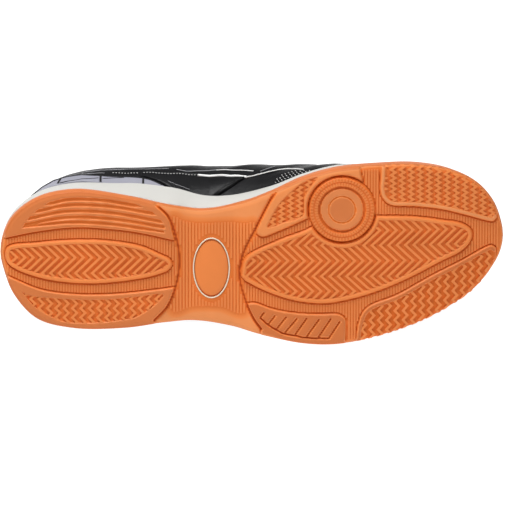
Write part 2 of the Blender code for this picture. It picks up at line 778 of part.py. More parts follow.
def resting_frame(points):
    bm = bmesh.new()
    for point in points:
        bm.verts.new(point)
    hull = bmesh.ops.convex_hull(bm, input=bm.verts[:])["geom"]
    best = None
    for face in hull:
        if not isinstance(face, bmesh.types.BMFace) or face.normal.y < SIDEWAYS:
            continue
        a, b, c = (np.array(vert.co) for vert in face.verts)
        normal = np.array(face.normal)
        weights = np.linalg.solve(np.column_stack([b - a, c - a, normal]), np.array(BALANCE) - a)
        inside = min(weights[0], weights[1], 1 - weights[0] - weights[1])
        if best is None or inside > best[0]:
            best = (inside, normal)
    bm.free()
    up = -best[1]
    forward = np.array([1.0, 0.0, 0.0])
    forward -= up * forward.dot(up)
    forward /= np.linalg.norm(forward)
    turn = np.array([forward, np.cross(up, forward), up])
    laid = points @ turn.T
    low, high = laid.min(axis=0), laid.max(axis=0)
    shift = -np.array([(low[0] + high[0]) / 2, (low[1] + high[1]) / 2, low[2]])
    frame = Matrix.Identity(4)
    for r in range(3):
        for c in range(3):
            frame[r][c] = turn[r, c]
        frame[r][3] = shift[r] * MM
    return frame


def main():
    for thing in list(bpy.data.objects):
        bpy.data.objects.remove(thing, do_unlink=True)

    gum = add_material("gum_rubber", GUM, 0.45)
    foam = add_material("white_foam", WHITE, 0.6)
    trim = add_material("pale_trim", WHITE, 0.4)
    leather = add_material("black_leather", BLACK, 0.4)
    fabric = add_material("black_fabric", BLACK, 0.85)
    counter_grey = add_material("counter_grey", GREY, 0.5)

    solids = {
        "outsole": (*stack(outsole_rings()), gum),
        "midsole": (*stack(midsole_rings()), foam),
        "upper": (*upper_solid(), leather),
        "heel_counter": (*counter_solid(), counter_grey),
        "saddle_medial": (*saddle_solid(1.0), leather),
        "saddle_lateral": (*saddle_solid(-1.0), leather),
        "eyestay": (*eyestay_solid(), leather),
        "tongue": (*tongue_solid(), fabric),
    }

    inset = foot_edge() + WALL + INSOLE_CLEARANCE
    insole = [ring(inset, lambda x: foam_top(x) + GAP), ring(inset, lambda x: foam_top(x) + GAP + INSOLE)]
    solids["insole"] = (*stack(insole), fabric)

    base = float(channel_floor(np.array(MEDALLION[0])))
    inner_half = grown(MEDALLION_HALF, -RING_WIDTH)
    plug = oval_block(grown(inner_half, -GAP), base, base + WINDOW_DEPTH - GAP)
    solids["medallion_plug"] = (*plug, gum)
    outer_ring = [oval(MEDALLION_HALF, base - RING_PROUD), oval(MEDALLION_HALF, base + WINDOW_DEPTH - GAP)]
    inner_ring = [oval(inner_half, base - RING_PROUD), oval(inner_half, base + WINDOW_DEPTH - GAP)]
    solids["medallion_ring"] = (*sheet_solid(np.array(outer_ring), np.array(inner_ring), True), trim)

    nodes = {}
    for name, (points, faces, material) in solids.items():
        nodes[name] = add_mesh(name, points, faces, material)

    helpers = [add_pods()]
    combine(nodes["outsole"], helpers[0], "UNION")
    window = oval_block(grown(MEDALLION_HALF, GAP), base - ARCH_LIFT, base + WINDOW_DEPTH)
    helpers.append(add_mesh("medallion_window", *window))
    combine(nodes["outsole"], helpers[-1], "DIFFERENCE")

    strands = lace_strands()
    nodes["lace"] = add_mesh("lace", *strands[0], fabric)
    for number, strand in enumerate(strands[1:]):
        helpers.append(add_mesh(f"lace_strand_{number}", *strand))
        combine(nodes["lace"], helpers[-1], "UNION")

    shell = [points for points, _, _ in solids.values()] + [points for points, _ in strands]
    shell += [np.column_stack([outline, tread(outline[:, 0])]) for outline in pod_outlines()]
    laid = bpy.data.objects.new("laid_on_side", None)
    bpy.context.scene.collection.objects.link(laid)
    laid.matrix_world = resting_frame(np.vstack(shell))
    for thing in list(nodes.values()) + helpers:
        thing.parent = laid


main()
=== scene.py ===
import json
import bpy
import bmesh
import numpy as np
from mathutils import Matrix


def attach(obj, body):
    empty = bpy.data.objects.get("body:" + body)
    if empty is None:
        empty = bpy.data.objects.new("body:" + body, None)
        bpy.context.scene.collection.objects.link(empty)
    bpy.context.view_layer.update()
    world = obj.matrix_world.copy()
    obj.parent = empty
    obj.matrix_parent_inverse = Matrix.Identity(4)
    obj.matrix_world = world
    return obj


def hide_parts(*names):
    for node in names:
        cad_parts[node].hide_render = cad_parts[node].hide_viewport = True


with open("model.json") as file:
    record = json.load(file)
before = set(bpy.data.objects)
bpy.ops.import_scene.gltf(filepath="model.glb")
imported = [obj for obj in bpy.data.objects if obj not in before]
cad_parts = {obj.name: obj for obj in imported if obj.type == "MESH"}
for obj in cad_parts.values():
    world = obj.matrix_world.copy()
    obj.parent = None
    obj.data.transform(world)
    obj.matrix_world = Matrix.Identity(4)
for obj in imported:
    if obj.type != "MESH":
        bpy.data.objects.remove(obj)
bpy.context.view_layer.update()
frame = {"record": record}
scene = bpy.context.scene
mm = 0.001

# The shoe's own axes, in millimetres: x heel to toe, y to the outer side, z up from the tread.
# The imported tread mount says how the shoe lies.
tread = frame["record"]["mounts"][0]
down = np.array(tread["axis"], float)
down /= np.linalg.norm(down)
forward = np.array([down[2], 0.0, -down[0]])
forward /= np.linalg.norm(forward)
lay = np.column_stack([forward, np.cross(-down, forward), -down])
heelPoint = np.array([50.0, 5.0, 0.0])
laidOrigin = np.array(tread["pos_m"]) - lay @ (heelPoint * mm)


def place(points):
    return (np.asarray(points, float) * mm) @ lay.T + laidOrigin


# Camera and lights

view = {"lean": 12.0, "distance": 6.0, "mmPerPixel": 0.596, "pixels": 505, "aim": (150.5, -0.6, 0.0)}
leanRad = np.radians(view["lean"])
toCamera = lay @ np.array([0.0, -np.sin(leanRad), -np.cos(leanRad)])
imageUp = lay @ np.array([0.0, -np.cos(leanRad), np.sin(leanRad)])
imageRight = lay @ np.array([1.0, 0.0, 0.0])
aim = place(view["aim"])


def looking(position, right, up, back):
    pose = Matrix.Identity(4)
    for r in range(3):
        for c, axis in enumerate((right, up, back, position)):
            pose[r][c] = axis[r]
    return pose


cameraData = bpy.data.cameras.new("photoCamera")
cameraData.sensor_fit = "HORIZONTAL"
cameraData.sensor_width = 36.0
cameraData.lens = 36.0 * view["distance"] / (view["mmPerPixel"] * view["pixels"] * mm)
cameraData.clip_end = 40.0
cameraData.dof.use_dof = False
camera = bpy.data.objects.new("photoCamera", cameraData)
scene.collection.objects.link(camera)
camera.matrix_world = looking(aim + toCamera * view["distance"], imageRight, imageUp, toCamera)
scene.camera = camera

lamps = (
    # name, along image right, image up, to camera, size, power
    ("keyLamp", -0.35, 1.05, 0.6, 0.5, 14.0),
    ("fillLamp", 0.5, -0.1, 1.2, 1.2, 2.0),
    ("bandLamp", 0.1, 1.3, 0.1, 0.7, 1.2),
)
for name, across, high, near, size, power in lamps:
    lampData = bpy.data.lights.new(name, "AREA")
    lampData.size = size
    lampData.energy = power
    lamp = bpy.data.objects.new(name, lampData)
    scene.collection.objects.link(lamp)
    offset = imageRight * across + imageUp * high + toCamera * near
    back = offset / np.linalg.norm(offset)
    right = np.cross(imageUp, back)
    right /= np.linalg.norm(right)
    lamp.matrix_world = looking(aim + offset, right, np.cross(back, right), back)

world = bpy.data.worlds.new("softRoom")
scene.world = world
world.use_nodes = True
world.node_tree.nodes["Background"].inputs["Color"].default_value = (1.0, 1.0, 1.0, 1.0)
world.node_tree.nodes["Background"].inputs["Strength"].default_value = 0.30
scene.view_settings.view_transform = "Standard"
scene.view_settings.look = "None"
print("camera and lights")


# Shader groups and materials

def link(tree, source, out, target, into):
    tree.links.new(source.outputs[out], target.inputs[into])


def shaderGroup(name, inputs, outputs):
    tree = bpy.data.node_groups.new(name, "ShaderNodeTree")
    for label, kind, value in inputs:
        tree.interface.new_socket(label, in_out="INPUT", socket_type=kind).default_value = value
    for label, kind in outputs:
        tree.interface.new_socket(label, in_out="OUTPUT", socket_type=kind)
    return tree, tree.nodes.new("NodeGroupInput"), tree.nodes.new("NodeGroupOutput")


def mottleGroup():
    inputs = (("Scale", "NodeSocketFloat", 90.0), ("Amount", "NodeSocketFloat", 0.1),
              ("Color", "NodeSocketColor", (0.5, 0.5, 0.5, 1.0)))
    tree, start, end = shaderGroup("mottle", inputs, (("Color", "NodeSocketColor"),))
    coords = tree.nodes.new("ShaderNodeTexCoord")
    noise = tree.nodes.new("ShaderNodeTexNoise")
    noise.inputs["Detail"].default_value = 3.0
    link(tree, coords, "Object", noise, "Vector")
    link(tree, start, "Scale", noise, "Scale")
    shift = tree.nodes.new("ShaderNodeMath")
    shift.operation = "MULTIPLY_ADD"
    shift.inputs[2].default_value = 1.0
    centre = tree.nodes.new("ShaderNodeMath")
    centre.operation = "SUBTRACT"
    centre.inputs[1].default_value = 0.5
    link(tree, noise, "Fac", centre, 0)
    link(tree, centre, 0, shift, 0)
    link(tree, start, "Amount", shift, 1)
    mix = tree.nodes.new("ShaderNodeVectorMath")
    mix.operation = "SCALE"
    link(tree, start, "Color", mix, "Vector")
    link(tree, shift, 0, mix, "Scale")
    link(tree, mix, "Vector", end, "Color")
    return tree


def grainGroup():
    inputs = (("Cells", "NodeSocketFloat", 900.0), ("Depth", "NodeSocketFloat", 0.1),
              ("Fine", "NodeSocketFloat", 3000.0))
    tree, start, end = shaderGroup("grain", inputs, (("Normal", "NodeSocketVector"),))
    coords = tree.nodes.new("ShaderNodeTexCoord")
    cells = tree.nodes.new("ShaderNodeTexVoronoi")
    cells.feature = "SMOOTH_F1"
    link(tree, coords, "Object", cells, "Vector")
    link(tree, start, "Cells", cells, "Scale")
    fine = tree.nodes.new("ShaderNodeTexNoise")
    link(tree, coords, "Object", fine, "Vector")
    link(tree, start, "Fine", fine, "Scale")
    total = tree.nodes.new("ShaderNodeMath")
    total.operation = "MULTIPLY_ADD"
    total.inputs[1].default_value = 0.4
    link(tree, fine, "Fac", total, 0)
    link(tree, cells, "Distance", total, 2)
    bump = tree.nodes.new("ShaderNodeBump")
    bump.inputs["Distance"].default_value = 0.0004
    link(tree, start, "Depth", bump, "Strength")
    link(tree, total, 0, bump, "Height")
    link(tree, bump, "Normal", end, "Normal")
    return tree


def weaveGroup():
    inputs = (("Threads", "NodeSocketFloat", 1400.0), ("Depth", "NodeSocketFloat", 0.4))
    tree, start, end = shaderGroup("weave", inputs, (("Normal", "NodeSocketVector"),))
    coords = tree.nodes.new("ShaderNodeTexCoord")
    waves = []
    for direction in ("X", "Z"):
        wave = tree.nodes.new("ShaderNodeTexWave")
        wave.bands_direction = direction
        link(tree, coords, "Object", wave, "Vector")
        link(tree, start, "Threads", wave, "Scale")
        waves.append(wave)
    product = tree.nodes.new("ShaderNodeMath")
    product.operation = "MULTIPLY"
    link(tree, waves[0], "Fac", product, 0)
    link(tree, waves[1], "Fac", product, 1)
    bump = tree.nodes.new("ShaderNodeBump")
    bump.inputs["Distance"].default_value = 0.0003
    link(tree, start, "Depth", bump, "Strength")
    link(tree, product, 0, bump, "Height")
    link(tree, bump, "Normal", end, "Normal")
    return tree


mottle, grain, weave = mottleGroup(), grainGroup(), weaveGroup()


def blankMaterial(name, roughness):
    material = bpy.data.materials.new(name)
    material.use_nodes = True
    shader = material.node_tree.nodes["Principled BSDF"]
    shader.inputs["Roughness"].default_value = roughness
    return material, material.node_tree, shader


def useGroup(tree, group, **values):
    node = tree.nodes.new("ShaderNodeGroup")
    node.node_tree = group
    for label, value in values.items():
        node.inputs[label].default_value = value
    return node


def surfaceMaterial(name, colour, relief, roughness, amount, spots, shine=0.35, **values):
    material, tree, shader = blankMaterial(name, roughness)
    shader.inputs["Specular IOR Level"].default_value = shine
    tone = useGroup(tree, mottle, Scale=spots, Amount=amount, Color=(*colour, 1.0))
    link(tree, tone, "Color", shader, "Base Color")
    touch = useGroup(tree, relief, **values)
    link(tree, touch, "Normal", shader, "Normal")
    return material


def gumMaterial():
    # The ramp paints light and shade into the gum: its darker stops at 0.7 and 1.0 are painted shade in
    # recesses, moats and grooves, the pale stop at 0.2 is a painted highlight along the arch edge, and the
    # bright stop at 0.3 is partly a painted highlight on ridge tops and narrow rims.
    look = {"roughness": 0.5, "shine": 0.2, "stops": (  # depth attribute, colour
        (0.0, (0.62, 0.15, 0.033)), (0.2, (0.85, 0.305, 0.105)), (0.3, (0.867, 0.258, 0.066)),
        (0.7, (0.77, 0.168, 0.022)), (1.0, (0.42, 0.055, 0.002)))}
    material, tree, shader = blankMaterial("gumRubber", look["roughness"])
    depth = tree.nodes.new("ShaderNodeAttribute")
    depth.attribute_name = "depth"
    ramp = tree.nodes.new("ShaderNodeValToRGB")
    for spot, _ in look["stops"][1:-1]:
        ramp.color_ramp.elements.new(spot)
    for element, (spot, colour) in zip(ramp.color_ramp.elements, look["stops"]):
        element.position = spot
        element.color = (*colour, 1.0)
    link(tree, depth, "Fac", ramp, "Fac")
    tone = useGroup(tree, mottle, Scale=45.0, Amount=0.2)
    link(tree, ramp, "Color", tone, "Color")
    link(tree, tone, "Color", shader, "Base Color")
    touch = useGroup(tree, grain, Cells=2600.0, Depth=0.12, Fine=5000.0)
    link(tree, touch, "Normal", shader, "Normal")
    shader.inputs["Specular IOR Level"].default_value = look["shine"]
    return material


gum = gumMaterial()
foam = surfaceMaterial("whiteFoam", (0.63, 0.62, 0.585), grain, roughness=0.55, amount=0.05, spots=60.0,
                       Cells=1500.0, Depth=0.10, Fine=4000.0)
trim = surfaceMaterial("paleTrim", (0.86, 0.76, 0.58), grain, roughness=0.35, amount=0.06, spots=80.0,
                       Cells=2500.0, Depth=0.05, Fine=4000.0)
leather = surfaceMaterial("blackLeather", (0.010, 0.010, 0.011), grain, roughness=0.36, amount=0.5,
                          spots=120.0, shine=0.1, Cells=1100.0, Depth=0.35, Fine=3500.0)
panel = surfaceMaterial("panelLeather", (0.009, 0.009, 0.010), grain, roughness=0.30, amount=0.5,
                        spots=120.0, shine=0.1, Cells=900.0, Depth=0.22, Fine=3500.0)
counterSkin = surfaceMaterial("greyCounter", (0.33, 0.33, 0.39), grain, roughness=0.42, amount=0.12,
                              spots=90.0, Cells=1400.0, Depth=0.15, Fine=3500.0)
piping = surfaceMaterial("whitePiping", (0.93, 0.93, 0.92), weave, roughness=0.5, amount=0.08, spots=200.0,
                         Threads=900.0, Depth=0.3)
# Grey thread for stitches and seams; one grey line along the top silhouette uses it as a painted highlight.
threadAndHighlight = surfaceMaterial("greyThreadAndHighlight", (0.42, 0.42, 0.44), weave, roughness=0.7, amount=0.15, spots=300.0,
                         Threads=1500.0, Depth=0.4)
footbedCloth = surfaceMaterial("footbedCloth", (0.05, 0.05, 0.055), weave, roughness=0.85, amount=0.3,
                               spots=220.0, Threads=900.0, Depth=0.6)
# Black thread for seams and bars; two cords on the counter's creases use it as painted shade.
blackThreadAndShade = surfaceMaterial("blackThreadAndShade", (0.012, 0.012, 0.013), weave, roughness=0.7, amount=0.3,
                              spots=300.0, Threads=1500.0, Depth=0.4)
lining = surfaceMaterial("liningFabric", (0.030, 0.030, 0.034), weave, roughness=0.85, amount=0.4,
                         spots=150.0, Threads=900.0, Depth=0.7)
laceFabric = surfaceMaterial("laceFabric", (0.022, 0.022, 0.024), weave, roughness=0.8, amount=0.4,
                             spots=200.0, Threads=700.0, Depth=0.9)
eyeletMetal = surfaceMaterial("eyeletRim", (0.05, 0.05, 0.055), grain, roughness=0.35, amount=0.2,
                              spots=200.0, Cells=2000.0, Depth=0.1, Fine=4000.0)
print("materials")


# Shapes shared with the solids

sizes = {
    "toeSpring": 11.0, "springFrom": 212.0, "heelBevel": 3.0, "bevelTo": 20.0, "podHeight": 1.6, "plate": 4.4,
    "archLift": 3.2, "archFrom": 98.0, "archTo": 154.0, "archRamp": 16.0, "rimWall": 2.2, "rimLean": 2.0,
    "leanFrom": 235.0, "leanRamp": 50.0, "gap": 0.3, "foamFlush": 0.2, "foamSwell": 0.6, "foamLeast": 0.9,
    "tuckFull": 6.0, "tuckRamp": 3.5, "toeBlend": 16.0, "wall": 2.2, "footInset": 0.8, "overlay": 1.2,
    "heelInset": 2.4, "heelInsetTo": 34.0, "heelInsetRamp": 24.0,
}
heelTip, toeTip = (0.0, 0.0), (300.2, -8.5)
soleEdge = (
    # x, medial, lateral
    (2.0, 11.8, 10.6), (8.0, 22.9, 25.5), (22.0, 33.5, 40.2), (44.0, 38.4, 46.0), (75.0, 34.6, 45.8),
    (100.0, 29.1, 42.4), (119.0, 25.9, 42.2), (137.0, 28.3, 45.2), (160.0, 36.6, 51.1), (180.0, 45.6, 55.2),
    (200.0, 51.2, 55.8), (225.0, 53.5, 51.2), (250.0, 53.4, 42.8), (268.0, 49.9, 33.9), (284.0, 41.9, 22.6),
    (294.0, 30.3, 9.8), (298.5, 19.0, 1.0),
)
soleSide = (
    # x, rim above tread, foam top, medial inset, lateral inset
    (0.0, 7.2, 27.0, 1.6, 2.0), (30.0, 6.8, 26.8, 1.0, 1.5), (60.0, 6.6, 26.4, -0.9, 0.8),
    (85.0, 6.6, 25.8, -5.2, 0.4), (105.0, 6.6, 25.0, -6.9, 0.2), (125.0, 6.8, 24.2, -4.6, 0.2),
    (143.0, 7.2, 22.4, -2.2, 0.6), (165.0, 8.0, 20.0, 0.2, 1.0), (182.0, 9.4, 17.8, 0.6, 1.2),
    (205.0, 10.4, 15.8, 0.8, 1.4), (225.0, 11.2, 15.2, 1.6, 1.8), (242.0, 12.4, 15.6, 3.0, 3.0),
    (262.0, 14.6, 17.2, 3.0, 3.0), (282.0, 17.0, 20.0, 3.0, 3.0), (301.0, 18.5, 24.0, 3.0, 3.0),
)


def hermite(rows, at):
    xs, ys = np.array(rows, float).T
    slope = np.gradient(ys, xs)
    at = np.asarray(at, float)
    i = np.clip(np.searchsorted(xs, at) - 1, 0, len(xs) - 2)
    span = xs[i + 1] - xs[i]
    u = np.clip((at - xs[i]) / span, 0.0, 1.0)
    v = 1.0 - u
    start = (1 + 2 * u) * v * v * ys[i] + u * v * v * span * slope[i]
    return start + u * u * (3 - 2 * u) * ys[i + 1] - u * u * v * span * slope[i + 1]


def through(points, count, closed=False):
    points = np.array(points, float)
    if closed:
        points = np.vstack([points[-3:], points, points[:4]])
    step = np.sqrt(np.linalg.norm(np.diff(points, axis=0), axis=1))
    t = np.concatenate([[0.0], np.cumsum(step)])
    first, last = (t[3], t[-4]) if closed else (t[0], t[-1])
    at = np.linspace(first, last, count, endpoint=not closed)
    columns = [hermite(np.column_stack([t, points[:, k]]), at) for k in range(points.shape[1])]
    return np.column_stack(columns)


def smooth(u):
    u = np.clip(u, 0.0, 1.0)
    return u * u * (3 - 2 * u)


def column(table, index):
    return [(row[0], row[index]) for row in table]


def treadHeight(x):
    spring = np.clip((x - sizes["springFrom"]) / (toeTip[0] - sizes["springFrom"]), 0, None)
    bevel = np.clip((sizes["bevelTo"] - x) / sizes["bevelTo"], 0, 1.1)
    return sizes["toeSpring"] * spring ** 2 + sizes["heelBevel"] * bevel ** 2


def archHeight(x):
    rise = smooth((x - sizes["archFrom"]) / sizes["archRamp"])
    return sizes["archLift"] * rise * smooth((sizes["archTo"] - x) / sizes["archRamp"])


def channelFloor(x):
    return treadHeight(x) + sizes["podHeight"] + archHeight(x)


def plateTop(x):
    return treadHeight(x) + sizes["plate"] + archHeight(x)


def rimTop(x):
    return treadHeight(x) + archHeight(x) + hermite(column(soleSide, 1), x)


def foamTop(x):
    return hermite(column(soleSide, 2), x)


def soleLoop(half, cosine):
    medial = [(x, -m) for x, m, _ in soleEdge]
    lateral = [(x, l) for x, _, l in reversed(soleEdge)]
    dense = through([heelTip] + medial + [toeTip] + lateral, 4000, True)
    dense = np.roll(dense, -int(np.argmin(dense[:, 0])), axis=0)
    toe = int(np.argmax(dense[:, 0]))
    near, far = dense[:toe + 1], np.vstack([dense[toe:], dense[:1]])[::-1]
    sweep = np.linspace(0.0, np.pi, half + 1)
    share = cosine * (1 - np.cos(sweep)) / 2 + (1 - cosine) * sweep / np.pi
    x = dense[0, 0] + (dense[toe, 0] - dense[0, 0]) * share
    medial = np.column_stack([x, np.interp(x, near[:, 0], near[:, 1])])
    lateral = np.column_stack([x, np.interp(x, far[:, 0], far[:, 1])])
    return np.vstack([medial, lateral[-2:0:-1]])


def insetLoop(loop, distance):
    ahead = np.roll(loop, -1, axis=0) - np.roll(loop, 1, axis=0)
    outward = np.column_stack([ahead[:, 1], -ahead[:, 0]])
    outward /= np.linalg.norm(outward, axis=1)[:, None]
    return loop - outward * np.broadcast_to(distance, len(loop))[:, None]


def ring(loop, distance, height):
    edge = insetLoop(loop, distance)
    level = height(edge[:, 0]) if callable(height) else height
    return np.column_stack([edge, np.broadcast_to(level, len(edge))])


def rimLean(loop):
    return sizes["rimLean"] * smooth((loop[:, 0] - sizes["leanFrom"]) / sizes["leanRamp"])


def foamEdge(loop):
    medial = hermite(column(soleSide, 3), loop[:, 0])
    lateral = hermite(column(soleSide, 4), loop[:, 0])
    share = smooth((loop[:, 1] - toeTip[1]) / sizes["toeBlend"] + 0.5)
    return medial * (1 - share) + lateral * share


def cupInside(loop):
    return sizes["rimWall"] + rimLean(loop) + sizes["gap"]


def foamTuck(loop):
    inside = cupInside(loop)
    cover = sizes["tuckFull"] - (foamTop(loop[:, 0]) - rimTop(loop[:, 0]))
    return sizes["foamFlush"] + (inside - sizes["foamFlush"]) * smooth(cover / sizes["tuckRamp"])


def footEdge(loop):
    heel = sizes["heelInset"] * smooth((sizes["heelInsetTo"] - loop[:, 0]) / sizes["heelInsetRamp"])
    return np.maximum(foamEdge(loop), foamTuck(loop)) + sizes["footInset"] + heel


# Making pieces

def addPiece(name, points, faces, materials, nodes=(), rows=None, sharp=40.0, attribute=None):
    mesh = bpy.data.meshes.new(name)
    mesh.from_pydata(place(points).tolist(), [], [tuple(int(k) for k in face) for face in faces])
    if rows is not None:
        mesh.polygons.foreach_set("material_index", np.asarray(rows, np.int32))
    if attribute is not None:
        layer = mesh.attributes.new("depth", "FLOAT", "POINT")
        layer.data.foreach_set("value", np.asarray(attribute, np.float32))
    return finishPiece(name, mesh, materials, nodes, sharp)


def finishPiece(name, mesh, materials, nodes=(), sharp=40.0):
    shape = bmesh.new()
    shape.from_mesh(mesh)
    bmesh.ops.recalc_face_normals(shape, faces=shape.faces[:])
    if shape.calc_volume(signed=True) < 0:
        bmesh.ops.reverse_faces(shape, faces=shape.faces[:])
    shape.to_mesh(mesh)
    shape.free()
    mesh.materials.clear()
    for material in materials:
        mesh.materials.append(material)
    mesh.shade_smooth()
    mesh.set_sharp_from_angle(angle=np.radians(sharp))
    piece = bpy.data.objects.new(name, mesh)
    scene.collection.objects.link(piece)
    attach(piece, "root")
    if nodes:
        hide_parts(*nodes)
    return piece


def bridge(first, second):
    following = np.roll(first, -1)
    return np.column_stack([first, following, np.roll(second, -1), second])


def ladder(start, count):
    half = count // 2
    faces = []
    for i in range(half):
        rung = [i, i + 1, (count - i - 1) % count, (count - i) % count]
        faces.append([start + k for k in dict.fromkeys(rung)])
    return faces


def stackPiece(rings):
    count = len(rings[0])
    faces = []
    for level in range(len(rings) - 1):
        base = np.arange(count) + level * count
        faces += bridge(base, base + count).tolist()
    faces += ladder(0, count) + ladder((len(rings) - 1) * count, count)
    return np.vstack(rings), faces


def twoSided(front, back):
    rows, columns = front.shape[:2]
    total = rows * columns
    index = np.arange(total).reshape(rows, columns)
    quads = np.stack([index[:-1, :-1], index[:-1, 1:], index[1:, 1:], index[1:, :-1]], -1)
    faces = quads.reshape(-1, 4).tolist()
    faces += [[total + k for k in face[::-1]] for face in faces]
    border = np.concatenate([index[0, :-1], index[:-1, -1], index[-1, :0:-1], index[:0:-1, 0]])
    faces += bridge(border, border + total).tolist()
    return np.vstack([front.reshape(-1, 3), back.reshape(-1, 3)]), faces


# Geometry node trees: a ridge along a flat path, a round cord along a path, and small marks on points

def geometryTree(name, inputs):
    tree = bpy.data.node_groups.new(name, "GeometryNodeTree")
    tree.interface.new_socket("Geometry", in_out="INPUT", socket_type="NodeSocketGeometry")
    for label, kind in inputs:
        tree.interface.new_socket(label, in_out="INPUT", socket_type=kind)
    tree.interface.new_socket("Geometry", in_out="OUTPUT", socket_type="NodeSocketGeometry")
    return tree, tree.nodes.new("NodeGroupInput"), tree.nodes.new("NodeGroupOutput")


def endTree(tree, start, last, out, end):
    real = tree.nodes.new("GeometryNodeRealizeInstances")
    paint = tree.nodes.new("GeometryNodeSetMaterial")
    link(tree, last, out, real, "Geometry")
    link(tree, real, "Geometry", paint, "Geometry")
    link(tree, start, "Material", paint, "Material")
    link(tree, paint, "Geometry", end, "Geometry")
    return tree


def ridgeTree():
    inputs = (("Width", "NodeSocketFloat"), ("Top", "NodeSocketFloat"), ("Height", "NodeSocketFloat"),
              ("Material", "NodeSocketMaterial"))
    tree, start, end = geometryTree("ridgeAlongPath", inputs)
    path = tree.nodes.new("GeometryNodeMeshToCurve")
    upright = tree.nodes.new("GeometryNodeSetCurveNormal")
    upright.mode = "Z_UP"
    section = tree.nodes.new("GeometryNodeCurvePrimitiveQuadrilateral")
    section.mode = "TRAPEZOID"
    section.inputs["Offset"].default_value = 0.0
    sweep = tree.nodes.new("GeometryNodeCurveToMesh")
    sweep.inputs["Fill Caps"].default_value = True
    link(tree, start, "Geometry", path, "Mesh")
    link(tree, path, "Curve", upright, "Curve")
    link(tree, upright, "Curve", sweep, "Curve")
    link(tree, start, "Width", section, "Bottom Width")
    link(tree, start, "Top", section, "Top Width")
    link(tree, start, "Height", section, "Height")
    link(tree, section, "Curve", sweep, "Profile Curve")
    return endTree(tree, start, sweep, "Mesh", end)


def cordTree():
    inputs = (("Radius", "NodeSocketFloat"), ("Sides", "NodeSocketInt"), ("Material", "NodeSocketMaterial"))
    tree, start, end = geometryTree("cordAlongPath", inputs)
    path = tree.nodes.new("GeometryNodeMeshToCurve")
    section = tree.nodes.new("GeometryNodeCurvePrimitiveCircle")
    sweep = tree.nodes.new("GeometryNodeCurveToMesh")
    sweep.inputs["Fill Caps"].default_value = True
    link(tree, start, "Geometry", path, "Mesh")
    link(tree, path, "Curve", sweep, "Curve")
    link(tree, start, "Radius", section, "Radius")
    link(tree, start, "Sides", section, "Resolution")
    link(tree, section, "Curve", sweep, "Profile Curve")
    return endTree(tree, start, sweep, "Mesh", end)


def markTree():
    inputs = (("Size", "NodeSocketVector"), ("Material", "NodeSocketMaterial"))
    tree, start, end = geometryTree("marksOnPoints", inputs)
    ball = tree.nodes.new("GeometryNodeMeshIcoSphere")
    ball.inputs["Radius"].default_value = 0.5
    ball.inputs["Subdivisions"].default_value = 2
    heading = tree.nodes.new("GeometryNodeInputNamedAttribute")
    heading.data_type = "FLOAT_VECTOR"
    heading.inputs["Name"].default_value = "heading"
    turned = tree.nodes.new("FunctionNodeEulerToRotation")
    spread = tree.nodes.new("GeometryNodeInstanceOnPoints")
    link(tree, start, "Geometry", spread, "Points")
    link(tree, ball, "Mesh", spread, "Instance")
    link(tree, heading, "Attribute", turned, "Euler")
    link(tree, turned, "Rotation", spread, "Rotation")
    link(tree, start, "Size", spread, "Scale")
    return endTree(tree, start, spread, "Instances", end)


ridges, cords, marks = ridgeTree(), cordTree(), markTree()


def runTree(tree, points, edges, headings=None, **values):
    mesh = bpy.data.meshes.new("treeInput")
    mesh.from_pydata(np.asarray(points, float).tolist(), [tuple(int(k) for k in edge) for edge in edges], [])
    if headings is not None:
        layer = mesh.attributes.new("heading", "FLOAT_VECTOR", "POINT")
        layer.data.foreach_set("vector", np.asarray(headings, np.float32).ravel())
    carrier = bpy.data.objects.new("treeInput", mesh)
    scene.collection.objects.link(carrier)
    modifier = carrier.modifiers.new("tree", "NODES")
    modifier.node_group = tree
    for item in tree.interface.items_tree:
        if item.in_out == "INPUT" and item.name in values:
            modifier[item.identifier] = values[item.name]
    depsgraph = bpy.context.evaluated_depsgraph_get()
    result = bpy.data.meshes.new_from_object(carrier.evaluated_get(depsgraph))
    bpy.data.objects.remove(carrier, do_unlink=True)
    bpy.data.meshes.remove(mesh)
    return result


def joinPaths(paths, closed=False):
    points, edges = [], []
    for path in paths:
        first = sum(len(p) for p in points)
        points.append(np.asarray(path, float))
        edges += [(first + k, first + k + 1) for k in range(len(path) - 1)]
        if closed:
            edges.append((first + len(path) - 1, first))
    return np.vstack(points), edges


def cordPiece(name, paths, radius, sides, material, closed=False, nodes=()):
    points, edges = joinPaths([place(path) for path in paths], closed)
    mesh = runTree(cords, points, edges, Radius=radius * mm, Sides=sides, Material=material)
    return finishPiece(name, mesh, [material], nodes)


# Tread: pods, fields and lines, all in shoe millimetres

